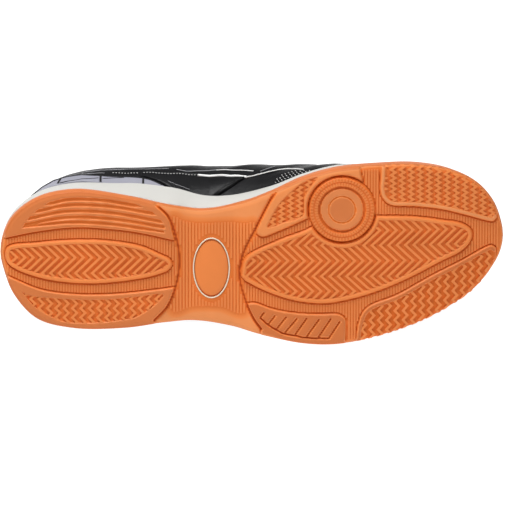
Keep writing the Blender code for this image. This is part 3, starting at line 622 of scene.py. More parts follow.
fine = soleLoop(480, 0.45)
pivot = {"centre": (203.8, -26.9), "radius": 19.4, "clear": 20.9, "eyeTo": 7.6, "eyeSoft": 0.8,
         "ringFrom": 13.4, "ringSoft": 0.6, "ringTone": 0.56, "grooveShade": 0.84, "grooveOut": 0.25,
         "grooveSoft": 0.45, "grooves": ((8.0, 0.45, 0.5), (13.4, 0.8, 0.9))}  # radius, half width, depth
strokes = {
    "heelMedial": (((2.9, -9.3), (20.0, -13.3), (45.0, -16.2), (68.4, -14.9), (84.2, -12.7), (103.6, -8.3)),
                   ((100.1, -22.5), (93.0, -29.0))),
    "heelLateral": (((4.8, 14.4), (25.6, 22.5), (45.3, 25.0), (62.7, 25.1), (77.5, 24.1), (104.0, 20.8)),
                    ((99.5, 32.3), (91.7, 40.4))),
    "foreMedialFront": (((227.4, -52.0), (226.8, -38.0), (228.3, -33.5), (232.4, -29.9), (247.6, -28.7),
                         (264.0, -26.3), (280.7, -21.6), (290.6, -18.5), (294.0, -18.0), (296.0, -20.0)),),
    "foreLateralRear": (((155.8, 46.0), (151.6, 40.3), (147.8, 32.6)),
                        ((147.8, 30.8), (151.6, 30.3), (161.7, 33.8), (175.2, 36.4), (190.7, 37.2),
                         (201.6, 37.2), (205.3, 39.6), (205.9, 43.9), (205.6, 53.0))),
    "foreLateralFront": (((212.7, 52.0), (213.7, 43.9), (216.3, 36.3), (220.5, 32.0), (236.6, 25.6),
                          (256.3, 14.8), (276.5, 4.9), (289.7, -2.0), (293.0, -3.0), (295.5, -1.5)),),
}
heelLens = ((4.6, -3.4), (22.8, -6.6), (45.6, -8.2), (64.4, -7.7), (84.0, -4.4), (95.4, 0.6), (100.7, 3.2),
            (102.4, 6.5), (100.1, 9.9), (94.2, 12.4), (84.2, 14.9), (53.0, 18.0), (22.8, 14.3), (4.3, 5.5))
foreCentral = (((143.9, 14.0), (146.3, 3.0), (164.5, -7.3), (183.0, -14.3)),
               ((224.4, -22.8), (247.3, -22.0), (264.0, -19.5), (275.4, -17.1), (281.0, -12.6),
                (280.7, -7.1), (275.4, -0.9), (263.2, 5.0), (243.2, 15.1), (223.5, 23.2),
                (206.8, 28.0), (193.1, 30.1), (175.2, 28.3), (159.1, 22.9), (146.6, 16.8)))
foreMedialRear = (((163.5, -36.5), (152.9, -15.5)),
                  ((153.2, -12.2), (156.2, -10.5), (166.9, -14.3), (183.0, -21.6)),
                  ((216.2, -44.3), (214.6, -51.0)))
fieldCorners = {
    "heelLateral": ((12.7, 22.7), (15.6, 24.6), (38.7, 27.3), (61.1, 27.7), (80.5, 25.9), (97.6, 24.6),
                    (94.6, 29.2), (87.9, 34.9), (80.5, 39.1), (70.0, 41.1), (58.1, 42.3), (48.4, 42.5),
                    (38.0, 41.7), (30.5, 38.7), (20.1, 32.2)),
    "foreMedialRear": ((159.5, -16.0), (161.5, -22.0), (167.0, -31.3), (172.8, -37.2), (180.3, -43.3),
                       (189.3, -46.5), (185.0, -40.5), (181.6, -34.0), (180.8, -23.6), (168.6, -18.6)),
}
# Each tone value is the painted shade of its grooves on the gum ramp, darkest where a groove is deepest.
grooveLines = {
    "heelMedial": {"width": 2.75, "depth": 1.0, "tone": 0.76, "fade": 0.9, "lines": (
        ((31.0, -31.1), (39.9, -33.2), (60.0, -33.0), (79.9, -29.9)),
        ((23.2, -26.4), (39.9, -29.9), (65.0, -29.2), (90.6, -25.0)),
        ((17.9, -21.9), (39.9, -26.2), (67.0, -25.2), (95.4, -20.1)),
        ((13.7, -17.7), (39.9, -22.5), (68.0, -21.4), (98.3, -16.5)),
        ((13.7, -15.8), (39.9, -19.5), (68.0, -18.2), (97.7, -13.4))),
        "field": ((12.6, -15.0), (14.6, -19.4), (18.2, -23.8), (23.6, -28.4), (31.6, -33.4), (45.0, -35.2),
                  (62.0, -34.6), (79.9, -31.4), (90.8, -26.6), (95.8, -21.6), (98.8, -17.6), (98.4, -12.2),
                  (84.0, -14.0), (68.0, -16.2), (39.9, -17.6), (24.0, -16.2))},
    "foreLateralRear": {"half": 0.66, "depth": 1.1, "tone": 1.0, "lines": (
        ((157.3, 36.0), (155.0, 39.0)), ((163.9, 37.8), (159.7, 43.3)), ((170.5, 38.7), (164.5, 46.3)),
        ((177.0, 39.6), (169.3, 48.8)), ((182.7, 39.6), (175.5, 50.0)), ((190.1, 40.2), (182.4, 51.2)),
        ((197.3, 39.6), (189.5, 51.5)), ((202.6, 41.4), (196.1, 51.5)),
        ((155.0, 39.0), (159.7, 43.3), (164.5, 46.3), (169.3, 48.8), (175.5, 50.0), (182.4, 51.2),
         (189.5, 51.5), (196.1, 51.5)))},
}
archLines = (
    ((93.0, -29.6), (100.1, -22.5), (105.0, -9.5), (107.0, 5.5), (104.7, 20.1), (99.5, 32.3), (91.7, 40.9)),
    ((164.3, -37.0), (160.6, -31.3), (152.6, -15.5), (147.8, -6.2), (144.4, 2.4), (142.7, 11.0),
     (143.0, 16.5), (144.6, 23.5), (147.8, 32.6), (151.6, 40.3), (155.8, 46.1)),
)
heelArc, foreArc = (through(line, 120) for line in archLines)
arcLine = {"half": 1.15, "soft": 0.85, "deep": 0.8, "clear": 0.5, "fadeFrom": 1.5, "fadeOver": 6.0}
archField = ((103.1, -22.5), (109.3, -19.5), (118.9, -18.0), (135.9, -18.6), (146.0, -18.4), (152.2, -18.8),
             (145.5, 36.6), (131.1, 33.2), (114.6, 33.2), (102.9, 35.5))
archOutline = through(archField, 120, True)
medallion = {"centre": (126.0, 9.5), "half": (10.7, 18.1), "ring": 0.4, "sink": 1.3, "sinkTo": 1.02,
             "sinkSoft": 0.03, "ringOut": 0.05, "plugTone": 0.36, "sides": 96}


def stroke(points):
    if len(points) == 2:
        return np.array(points, float)
    return through(points, 5 * len(points))


def sideRun(firstX, lastX, lateral):
    beyond = insetLoop(fine, -4.0)
    half = len(fine) // 2
    edge = np.vstack([beyond[half:], beyond[:1]])[::-1] if lateral else beyond[:half + 1]
    x = np.linspace(firstX, lastX, max(6, int(abs(lastX - firstX) / 2.5)))
    return np.column_stack([x, np.interp(x, edge[:, 0], edge[:, 1])])


def pivotArc(start, end, clockwise):
    a = np.arctan2(start[1] - pivot["centre"][1], start[0] - pivot["centre"][0])
    b = np.arctan2(end[1] - pivot["centre"][1], end[0] - pivot["centre"][0])
    if clockwise:
        b -= 2 * np.pi * (b > a)
    else:
        b += 2 * np.pi * (b < a)
    sweep = np.linspace(a, b, 40)
    return np.column_stack([np.cos(sweep), np.sin(sweep)]) * pivot["clear"] + pivot["centre"]


def podShapes():
    shapes = {}
    for name, lines in strokes.items():
        inner = np.vstack([stroke(points) for points in lines])
        side = sideRun(inner[-1, 0], inner[0, 0], "Lateral" in name)
        shapes[name] = {"inner": inner, "outline": np.vstack([inner, side])}
    rear, front = foreCentral
    arc = pivotArc(rear[-1], front[0], True)
    closed = np.vstack([stroke(rear)[:-1], arc, stroke(front)[1:]])
    shapes["foreCentral"] = {"inner": np.vstack([closed, closed[:1]]), "outline": closed}
    lens = through(heelLens, 90, True)
    shapes["heelLens"] = {"inner": np.vstack([lens, lens[:1]]), "outline": lens}
    back, low, top = foreMedialRear
    arc = pivotArc(low[-1], top[0], False)
    inner = np.vstack([stroke(back), stroke(low)[:-1], arc, stroke(top)[1:]])
    side = sideRun(inner[-1, 0], inner[0, 0], False)
    shapes["foreMedialRear"] = {"inner": inner, "outline": np.vstack([inner, side])}
    sweep = np.linspace(0, 2 * np.pi, 90, endpoint=False)
    disc = np.column_stack([np.cos(sweep), np.sin(sweep)]) * pivot["radius"] + pivot["centre"]
    shapes["pivot"] = {"inner": np.vstack([disc, disc[:1]]), "outline": disc}
    return shapes


def lineDistance(points, line):
    best = np.full(len(points), 1e9)
    for a, b in zip(line[:-1], line[1:]):
        along = b - a
        t = np.clip(((points - a) @ along) / max(along @ along, 1e-9), 0, 1)
        gapTo = points - a - t[:, None] * along
        best = np.minimum(best, np.einsum("ij,ij->i", gapTo, gapTo))
    return np.sqrt(best)


def isInside(points, outline):
    crossings = np.zeros(len(points), bool)
    for a, b in zip(outline, np.roll(outline, -1, axis=0)):
        spans = (a[1] > points[:, 1]) != (b[1] > points[:, 1])
        rise = b[1] - a[1] if b[1] != a[1] else 1e-9
        crossings ^= spans & (points[:, 0] < (b[0] - a[0]) * (points[:, 1] - a[1]) / rise + a[0])
    return crossings


def signedDistance(points, outline):
    distance = lineDistance(points, np.vstack([outline, outline[:1]]))
    return np.where(isInside(points, outline), distance, -distance)


pods = podShapes()
soleOutline = fine[::4]
recess = {"depth": 1.15, "margin": 2.1, "wall": 0.5, "ridgeSink": 0.15,
          "pods": ("heelLens", "foreCentral", "foreMedialFront", "foreLateralFront", "heelLateral",
                   "foreMedialRear")}
podEdge = {"inside": 0.45, "over": 1.0, "moatAt": 0.68, "moatHalf": 0.48, "moatDeep": 0.45}
edgeRound = {"lift": 0.55, "from": 3.0, "over": 2.0, "steep": 2.4, "corner": 1.0, "most": 1.5}
slitLook = {"out": 0.2, "soft": 0.45}
wedgeLook = {"above": 0.35, "slope": 0.22, "slopeOver": 0.8, "lip": 0.4, "tail": 0.22}

# Places on the gum colour ramp, from its dull start to the dark grooves. The channel, recess, floor and moat
# tones are painted shade in sunk places, the arch margin and arch rim tones are a painted highlight, and the
# per-pod flat tones paint how light falls across each pod's top, partly painted shade and partly painted
# light.
tones = {"land": 0.3, "channel": 0.58, "moat": 1.0, "archRimHighlight": 0.19, "archMarginHighlight": 0.23, "rim": 0.02,
         "wall": 0.05, "eye": 0.06,
         "flatShade": {"heelMedial": 0.06, "heelLateral": 0.06, "foreLateralRear": 0.04, "foreLateralFront": 0.03,
                  "foreMedialFront": 0.2, "foreMedialRear": 0.26, "pivot": 0.11},
         "recess": {"foreLateralFront": 0.72, "foreMedialFront": 0.6, "foreMedialRear": 0.62}, "floor": 0.61}


def fieldDistance(name, points):
    if name in fieldCorners:
        return signedDistance(points, through(fieldCorners[name], 80, True))
    inside = isInside(points, pods[name]["outline"])
    return np.where(inside, lineDistance(points, pods[name]["inner"]) - recess["margin"], -1.0)


def edgeLift(distance):
    lift = edgeRound["lift"] * smooth((edgeRound["from"] - distance) / edgeRound["over"])
    return lift + edgeRound["steep"] * np.clip(edgeRound["corner"] - distance, 0, edgeRound["most"])


def slit(points, line, half):
    return smooth((half + slitLook["out"] - lineDistance(points, stroke(line))) / slitLook["soft"])


def wedge(points, line, width):
    path = through(line, 40)
    below = points[:, 1] - np.interp(points[:, 0], path[:, 0], path[:, 1]) + wedgeLook["above"] * width
    slope = 1 - wedgeLook["slope"] * np.clip(below / (wedgeLook["slopeOver"] * width), 0, 1)
    return smooth(below / wedgeLook["lip"]) * slope * smooth((width - below) / (wedgeLook["tail"] * width))


def arcAt(arc, y):
    return np.interp(y, arc[:, 1], arc[:, 0])


def ovalShare(points):
    return np.hypot(*((points - medallion["centre"]) / medallion["half"]).T)


def podTop(name, points):
    top = np.zeros(len(points))
    # Each pod's flat top starts from its own tone, which partly paints how light falls on that pod: painted
    # shade and light.
    shade = np.full(len(points), tones["flatShade"].get(name, tones["land"]))
    # A sunk field's floor takes the recess tone: painted shade.
    if name in recess["pods"]:
        sunk = smooth(fieldDistance(name, points) / recess["wall"])
        top += recess["depth"] * sunk
        shade += (tones["recess"].get(name, tones["floor"]) - shade) * sunk
    # Groove lines and slits darken with their depth by the groove's tone: painted shade.
    if name in grooveLines:
        cut = grooveLines[name]
        within = 1.0
        if "field" in cut:
            within = smooth(signedDistance(points, np.array(cut["field"])) / cut["fade"])
        for line in cut["lines"]:
            depth = wedge(points, line, cut["width"]) if "width" in cut else slit(points, line, cut["half"])
            depth *= within
            top = np.maximum(top, cut["depth"] * depth)
            shade = np.maximum(shade, cut["tone"] * depth)
    if name == "pivot":
        radius = np.linalg.norm(points - pivot["centre"], axis=1)
        # The pivot's ring grooves are darkened the same way: painted shade.
        for middle, half, deep in pivot["grooves"]:
            depth = smooth((half + pivot["grooveOut"] - np.abs(radius - middle)) / pivot["grooveSoft"])
            top = np.maximum(top, deep * depth)
            shade = np.maximum(shade, pivot["grooveShade"] * depth)
        shade += (tones["eye"] - shade) * smooth((pivot["eyeTo"] - radius) / pivot["eyeSoft"])
        outer = smooth((radius - pivot["ringFrom"]) / pivot["ringSoft"])
        shade = np.maximum(shade, pivot["ringTone"] * outer)
    return top, shade


def relief(points):
    x, y = points.T
    height = sizes["podHeight"] + archHeight(x)
    lineFloor = height + arcLine["deep"]
    # The floor between pods starts at the channel tone, darker than the pod tops: painted shade.
    shade = np.full(len(points), tones["channel"])
    # The bare arch floor outside the ribbed field takes the pale arch margin tone: a painted highlight.
    bare = smooth(x - arcAt(heelArc, y) - arcLine["clear"])
    bare *= smooth(arcAt(foreArc, y) - arcLine["clear"] - x)
    bare *= smooth((arcLine["fadeFrom"] - signedDistance(points, archOutline)) / arcLine["fadeOver"])
    shade += (tones["archMarginHighlight"] - shade) * bare
    for name, pod in pods.items():
        near = signedDistance(points, pod["outline"])
        top, topShade = podTop(name, points)
        rise = smooth((near + podEdge["inside"]) / podEdge["over"])
        # The moat at each pod's foot gets the darkest tone: a painted shadow of the step.
        moat = np.exp(-((near + podEdge["moatAt"]) / podEdge["moatHalf"]) ** 2)
        height = height * (1 - rise) + top * rise + podEdge["moatDeep"] * moat
        shade = np.maximum(shade * (1 - rise) + topShade * rise, tones["moat"] * moat)
    # The arch lines are darkened with the groove tone: painted shade.
    for arc in (heelArc, foreArc):  # cut after the pods, so that no pod edge breaks them
        groove = smooth((arcLine["half"] - lineDistance(points, arc)) / arcLine["soft"])
        height = height + np.maximum(lineFloor - height, 0.0) * groove
        shade = np.maximum(shade, groove)
    window = smooth((medallion["sinkTo"] - ovalShare(points)) / medallion["sinkSoft"])
    return height + medallion["sink"] * window, shade


def wave(y, knots):
    ys = np.array([k[0] for k in knots], float)
    return np.interp(y, ys, [k[1] for k in knots])


def zigzag(start, period, left, right):
    y = start + np.arange(-16, 17) * period / 2
    return [(value, right if k % 2 else left) for k, value in enumerate(y)]


lateralZig = {"pitch": 4.95, "knots": zigzag(34.8, 5.7, 2.7, 5.3), "from": 216.0, "to": 291.0, "soft": 4.0,
              "notch": 0.35}


def edgeNotch(loop):
    x, y = loop.T
    beat = (x - wave(y, lateralZig["knots"])) / lateralZig["pitch"]
    run = smooth((x - lateralZig["from"]) / lateralZig["soft"])
    run *= smooth((lateralZig["to"] - x) / lateralZig["soft"])
    run *= np.arange(len(loop)) > len(loop) // 2
    return lateralZig["notch"] * run * smooth(0.5 - np.cos(2 * np.pi * beat))


# Outsole: one closed mesh, the tread as a fine sheet and the cup wall around it

def outsoleMesh():
    detail = {"across": 172, "edge": 1.0, "wide": 2.6, "lip": 0.5,
              "low": ((0.5, 0.25), (0.15, 0.6), (0.0, 1.0)), "high": (0.35, 0.7, 0.92)}
    rimLook = {"share": 0.85, "reach": 2.4, "soft": 1.6, "foreLess": 0.7, "foreFrom": 214.0, "foreOver": 6.0,
               "archFrom": 85.0, "archTo": 172.0, "archOver": 15.0}
    half = len(fine) // 2
    edge = insetLoop(fine, detail["edge"])
    medial, lateral = edge[1:half], edge[len(fine) - 1:half:-1]
    u = np.linspace(0, 1, detail["across"] + 1)[None, :, None]
    grid = medial[:, None] * (1 - u) + lateral[:, None] * u
    rows, across = grid.shape[:2]
    flat = np.vstack([grid.reshape(-1, 2), edge[:1], edge[half:half + 1]])
    height, shade = relief(flat)
    height = height + edgeLift(np.maximum(signedDistance(flat, soleOutline), detail["edge"]))
    sheet = np.column_stack([flat, treadHeight(flat[:, 0]) + height])
    index = np.arange(rows * across).reshape(rows, across)
    quads = np.stack([index[:-1, :-1], index[1:, :-1], index[1:, 1:], index[:-1, 1:]], -1)
    faces = quads.reshape(-1, 4).tolist()
    heel, toe = rows * across, rows * across + 1
    faces += [(heel, index[0, k], index[0, k + 1]) for k in range(across - 1)]
    faces += [(toe, index[-1, k + 1], index[-1, k]) for k in range(across - 1)]
    border = np.concatenate([[heel], index[:, 0], [toe], index[::-1, -1]])
    low = sheet[border, 2]
    wide = channelFloor(fine[:, 0]) + detail["wide"]
    lean = rimLean(fine)
    notch = edgeNotch(fine)
    rings = [ring(fine, inset + notch, low + (wide - low) * share) for inset, share in detail["low"]]
    top = rimTop(fine[:, 0])
    for share in detail["high"]:
        rings.append(ring(fine, lean * share + notch * (1 - share), wide + (top - wide) * share))
    rings.append(ring(fine, lean + detail["lip"], top))
    rings.append(ring(fine, lean + sizes["rimWall"], top))
    rings.append(ring(fine, lean + sizes["rimWall"], plateTop))
    points = [sheet]
    total = len(sheet)
    previous = border
    for loop in rings:
        current = np.arange(len(fine)) + total
        faces += bridge(previous, current).tolist()
        points.append(loop)
        total += len(loop)
        previous = current
    faces += ladder(int(previous[0]), len(fine))
    points = np.vstack(points)
    x = flat[:, 0]
    # Near the sole's edge the tone is pulled towards the pale arch rim tone in the arch, a painted highlight,
    # and towards a darker tone at heel and forefoot.
    rim = rimLook["share"] * smooth((rimLook["reach"] - signedDistance(flat, soleOutline)) / rimLook["soft"])
    rim = rim * (1 - rimLook["foreLess"] * smooth((x - rimLook["foreFrom"]) / rimLook["foreOver"]))
    inArch = smooth((x - rimLook["archFrom"]) / rimLook["archOver"])
    inArch = inArch * smooth((rimLook["archTo"] - x) / rimLook["archOver"])
    rimTone = tones["rim"] + (tones["archRimHighlight"] - tones["rim"]) * inArch
    shade = shade * (1 - rim) + rimTone * rim
    return points, faces, np.concatenate([shade, np.full(len(points) - len(sheet), tones["wall"])])


points, faces, shade = outsoleMesh()
addPiece("outsoleTread", points, faces, [gum], ("outsole",), sharp=80.0, attribute=shade)
print("outsole", len(faces))


# Ridges on the tread, swept flat and then laid on the curved sole

def keepRuns(path, keep, least):
    runs, run = [], []
    for point, good in zip(path, keep):
        if good:
            run.append(point)
        elif run:
            runs.append(run)
            run = []
    if run:
        runs.append(run)
    return [np.array(r) for r in runs if np.linalg.norm(r[-1] - r[0]) > least]


def pulledIn(flat, clear):
    near = signedDistance(flat, soleOutline)
    step = 0.05
    moves = [signedDistance(flat + move, soleOutline) - near for move in ((step, 0.0), (0.0, step))]
    return flat + np.column_stack(moves) / step * np.maximum(clear - near, 0)[:, None]


ridgeLook = {"tone": 0.3, "footShade": 0.3, "clear": 0.15, "step": 0.3, "least": 1.0, "over": 0.3,
             "overEdge": 0.6, "ribSink": 0.1}


def ridgePiece(name, paths, look, base, bend=None, lifted=False):
    points, edges = joinPaths([np.column_stack([path, np.zeros(len(path))]) for path in paths])
    if bend is not None:
        points[:, 0] -= wave(points[:, 1], bend)
    mesh = runTree(ridges, points, edges, Width=look["width"], Top=look["top"], Height=look["height"],
                   Material=gum)
    swept = np.zeros(3 * len(mesh.vertices))
    mesh.vertices.foreach_get("co", swept)
    flat, above = swept.reshape(-1, 3)[:, :2], swept[2::3] + look["height"] / 2
    if bend is not None:
        flat[:, 0] += wave(flat[:, 1], bend)
    if lifted:
        flat = pulledIn(flat, ridgeLook["clear"])
    z = treadHeight(flat[:, 0]) + base(flat[:, 0]) - above
    if lifted:
        z = z + edgeLift(signedDistance(flat, soleOutline))
    laid = place(np.column_stack([flat, z]))
    mesh.vertices.foreach_set("co", laid.ravel())
    layer = mesh.attributes.new("depth", "FLOAT", "POINT")
    # Ridges are painted bright on top and darker towards their foot: painted highlight on the tops, painted
    # shade at the foot.
    tone = ridgeLook["tone"] + ridgeLook["footShade"] * (1 - above / look["height"])
    layer.data.foreach_set("value", np.float32(tone))
    mesh.update()
    return finishPiece(name, mesh, [gum])


def fieldPaths(name, pitch, knots, inset, over):
    corners = np.array(pods[name]["outline"])
    low, high = corners.min(axis=0), corners.max(axis=0)
    y = np.arange(low[1] - 1, high[1] + 1, ridgeLook["step"])
    shift = wave(y, knots)
    first = np.floor((low[0] - shift.max()) / pitch)
    paths = []
    for number in np.arange(first, (high[0] - shift.min()) / pitch + 1):
        path = np.column_stack([number * pitch + shift, y])
        keep = fieldDistance(name, path) > inset
        keep &= signedDistance(path, soleOutline) > -over
        paths += keepRuns(path, keep, ridgeLook["least"])
    return paths


def levelAt(depth):
    return lambda x: np.full(np.shape(x), depth)


chevrons = {"width": 2.15, "top": 1.15, "height": 1.05}
zigs = {"width": 2.05, "top": 1.1, "height": 1.0}
broadZigs = {"width": 2.65, "top": 1.6, "height": 0.95}
lensKnots = [(-20.0, -22.9), (2.2, 0.0), (11.7, -9.8), (30.0, 9.0)]
centralKnots = [(-35.0, -9.1), (-14.3, 12.2), (-5.2, 2.5), (4.2, 12.3), (13.65, 2.35), (22.7, 12.2),
                (40.0, -5.6)]
ridgeFields = (
    # piece, pod, section, pitch, bends, inset, runs over the sole's edge
    ("heelChevrons", "heelLens", chevrons, 4.98, lensKnots, 0.0, False),
    ("foreChevrons", "foreCentral", chevrons, 4.98, centralKnots, 0.0, False),
    ("heelZigzags", "heelLateral", zigs, 4.98, zigzag(27.5, 5.65, 3.1, 5.9), -0.2, False),
    ("lateralZigzags", "foreLateralFront", zigs, lateralZig["pitch"], lateralZig["knots"], 0.0, True),
    ("medialZigzags", "foreMedialFront", broadZigs, 5.36, zigzag(-41.1, 3.32, 2.5, 5.0), 0.0, True),
    ("rearZigzags", "foreMedialRear", broadZigs, 5.36, zigzag(-29.25, 3.2, 0.4, 2.9), 0.0, False),
)
podFloor = levelAt(recess["depth"] + recess["ridgeSink"])
for name, pod, section, pitch, bend, inset, overEdge in ridgeFields:
    paths = fieldPaths(pod, pitch, bend, inset, ridgeLook["overEdge" if overEdge else "over"])
    ridgePiece(name, paths, section, podFloor, bend, overEdge)
print("tread ridges")


def channelRibs():
    look = {"pitch": 1.67, "archPitch": 1.9, "clear": 1.15, "arcClear": 1.5, "rim": 2.0, "least": 1.2,
            "oval": 1.16, "split": 125.0}
    spans = {"heel": (4.5, 108.0), "fore": (143.0, 298.0), "arch": (98.0, 152.0)}
    y = np.arange(-56.0, 58.0, ridgeLook["step"])
    heelSide, foreSide = arcAt(heelArc, y), arcAt(foreArc, y)
    channel, archRibs = [], []
    for x in np.concatenate([np.arange(*spans[part], look["pitch"]) for part in ("heel", "fore")]):
        path = np.column_stack([np.full(len(y), x), y])
        keep = signedDistance(path, soleOutline) > look["rim"]
        if x < look["split"]:
            keep &= x < heelSide - look["arcClear"]
        else:
            keep &= x > foreSide + look["arcClear"]
        for pod in pods.values():
            keep &= signedDistance(path, pod["outline"]) < -look["clear"]
        channel += [run[[0, -1]] for run in keepRuns(path, keep, look["least"])]
    for x in np.arange(*spans["arch"], look["archPitch"]):
        path = np.column_stack([np.full(len(y), x), y])
        keep = signedDistance(path, archOutline) > 0.0
        keep &= (x > heelSide + look["arcClear"]) & (x < foreSide - look["arcClear"])
        keep &= ovalShare(path) > look["oval"]
        archRibs += [run[[0, -1]] for run in keepRuns(path, keep, look["least"])]
    return channel, archRibs


def channelBase(x):
    return sizes["podHeight"] + archHeight(x) + ridgeLook["ribSink"]


channel, archRibs = channelRibs()
ridgePiece("channelRibs", channel, {"width": 1.0, "top": 0.5, "height": 0.6}, channelBase)
ridgePiece("archRibs", archRibs, {"width": 1.15, "top": 0.6, "height": 0.52}, channelBase)


def knurl():
    look = {"rows": ((15.4, 1.7), (18.0, 1.7)), "count": 60}
    paths = []
    for number, (radius, length) in enumerate(look["rows"]):
        for k in range(look["count"]):
            angle = 2 * np.pi * (k + 0.5 * number) / look["count"]
            direction = np.array([np.cos(angle), np.sin(angle)])
            ends = (radius - length / 2, radius + length / 2)
            paths.append(np.array([direction * end for end in ends]) + pivot["centre"])
    return paths


ridgePiece("pivotKnurl", knurl(), {"width": 1.15, "top": 0.85, "height": 0.55}, levelAt(ridgeLook["ribSink"]))


def medallionPieces():
    count = medallion["sides"]
    plugRows = (  # share of the oval, height from the channel floor
        (0.93, 1.2), (0.93, 0.35), (0.9, 0.1), (0.8, -0.1), (0.55, -0.22), (0.25, -0.28), (0.05, -0.3))
    sweep = np.linspace(0, 2 * np.pi, count, endpoint=False)
    base = float(channelFloor(np.array(medallion["centre"][0])))
    around = np.column_stack([np.cos(sweep), np.sin(sweep)])
    oval = around * medallion["half"] + medallion["centre"]
    path = np.column_stack([oval, np.full(count, base - medallion["ringOut"])])
    cordPiece("medallionRing", [path], medallion["ring"], 10, trim, True, ("medallion_ring",))
    rings = []
    for share, rise in plugRows:
        flat = around * np.array(medallion["half"]) * share + medallion["centre"]
        rings.append(np.column_stack([flat, np.full(count, base + rise)]))
    points, faces = stackPiece(rings)
    tone = np.full(len(points), medallion["plugTone"])
    addPiece("medallionPlug", points, faces, [gum], ("medallion_plug",), attribute=tone)


medallionPieces()
print("tread ribs")


# Foam: wall rings from the rim to the top edge

def midsoleMesh():
    look = {"ledge": 0.3, "free": 1.2, "rows": 12, "line": 0.35, "lineAt": 0.80, "lineHalf": 0.035,
            "lip": 0.25, "shelf": 3.0}
    loop = soleLoop(300, 0.6)
    tuck, edge = foamTuck(loop), foamEdge(loop)
    edge = np.where(tuck > 1.0, np.maximum(edge, tuck), edge)
    inside = cupInside(loop)
    low = plateTop(loop[:, 0]) + sizes["foamLeast"]
    shelf = np.minimum(rimTop(loop[:, 0]) + sizes["gap"], foamTop(loop[:, 0]) - sizes["foamLeast"])
    shelf = np.maximum(shelf, low)
    top = foamTop(loop[:, 0])
    rings = [ring(loop, inside, plateTop(loop[:, 0]) + sizes["gap"]), ring(loop, inside, shelf),
             ring(loop, tuck + look["ledge"], shelf)]
    free = smooth(look["free"] - tuck)
    for share in np.linspace(0.06, 0.94, look["rows"]):
        belly = 4 * share * (1 - share) * sizes["foamSwell"] * free
        line = look["line"] * np.exp(-((share - look["lineAt"]) / look["lineHalf"]) ** 2) * free
        rings.append(ring(loop, tuck + (edge - tuck) * share - belly + line, shelf + (top - shelf) * share))
    rings.append(ring(loop, edge + look["lip"], top))
    rings.append(ring(loop, edge + look["shelf"], top))
    return stackPiece(rings)


points, faces = midsoleMesh()
addPiece("midsoleFoam", points, faces, [foam], ("midsole",), sharp=60.0)
print("midsole")


# Upper: ribs climb from the foam edge to the topline; q counts ribs from the heel by the medial side

ribs = (
    # foot x, rise, top x, top z, ahead, drop, pad, medial (out, top, spread), lateral
    (14.0, 21.0, 20.0, 83.5, -4.0, 17.0, 6.0, (-3.5, 17.5, 3.0), (1.0, 22.0, 5.0)),
    (34.0, 20.0, 37.0, 75.0, -2.0, 15.0, 6.0, (2.2, 28.0, 8.0), (2.5, 33.0, 7.5)),
    (60.0, 20.0, 62.0, 65.5, 0.0, 12.0, 6.0, (8.0, 33.0, 12.0), (2.5, 36.0, 8.5)),
    (92.0, 20.0, 92.0, 71.0, 0.0, 13.0, 5.0, (14.5, 28.5, 21.0), (2.3, 30.0, 15.0)),
    (118.0, 21.0, 111.0, 85.0, 2.0, 13.0, 2.6, (23.0, 19.5, 28.0), (3.0, 19.5, 22.0)),
    (145.0, 20.0, 145.0, 79.0, 2.0, 8.0, 2.2, (24.0, 13.5, 32.0), (-1.5, 12.0, 23.0)),
    (175.0, 18.0, 177.0, 70.5, 3.0, 6.0, 2.2, (12.0, 11.0, 33.0), (-5.5, 9.0, 21.0)),
    (212.0, 18.0, 199.0, 65.0, 8.0, 3.5, 2.2, (0.0, 9.5, 27.5), (-5.0, 4.5, 22.0)),
    (245.0, 18.0, 207.5, 63.0, 22.0, 2.5, 2.2, (0.5, 6.5, 24.0), (0.0, 0.5, 22.0)),
    (276.0, 18.0, 211.0, 62.2, 38.0, 3.0, 2.2, (0.0, 4.0, 18.0), (0.0, -1.5, 14.0)),
)
heelRib = {"lead": (4.5, 0.0, 22.0), "top": (14.5, 2.5, 85.5), "tail": (-4.0, 0.0, -18.0), "pad": 6.0}
toeRib = {"lead": (-1.0, 0.0, 20.0), "top": (212.5, -2.8, 61.8), "tail": (50.0, -4.0, -4.0), "pad": 2.2}
ribCount = 2 * len(ribs) + 2
toeIndex = len(ribs) + 1
coarse = soleLoop(38, 1.0)
footLoop = insetLoop(coarse, footEdge(coarse))


def ribTable():
    half, count = len(coarse) // 2, len(coarse)
    feet = [row[0] for row in ribs]
    along = np.interp(feet, footLoop[:half + 1, 0], range(half + 1))
    alongFar = np.interp(feet, footLoop[np.arange(count, half - 1, -1) % count, 0], range(half + 1))
    rows = [None] * ribCount
    rows[0], rows[toeIndex] = (0.0, heelRib), (float(half), toeRib)
    for k, (_, rise, topX, topZ, ahead, drop, pad, medial, lateral) in enumerate(ribs):
        for index, spot, sign, (out, top, spread) in ((k + 1, along[k], -1.0, medial),
                                                      (ribCount - 1 - k, count - alongFar[k], 1.0, lateral)):
            rows[index] = (spot, {"lead": (0.0, sign * out, rise), "top": (topX, sign * top, topZ),
                                  "tail": (ahead, sign * spread, -drop), "pad": pad})
    return rows


ribRows = ribTable()


def around(values, q, lap=0.0):
    values = np.array(values, float)
    extended = np.concatenate([values[-3:] - lap, values, values[:4] + lap])
    return hermite(np.column_stack([np.arange(-3, len(values) + 4), extended]), np.mod(q, ribCount))


def ribVector(key, q):
    return np.column_stack([around([row[1][key][k] for row in ribRows], q) for k in range(3)])


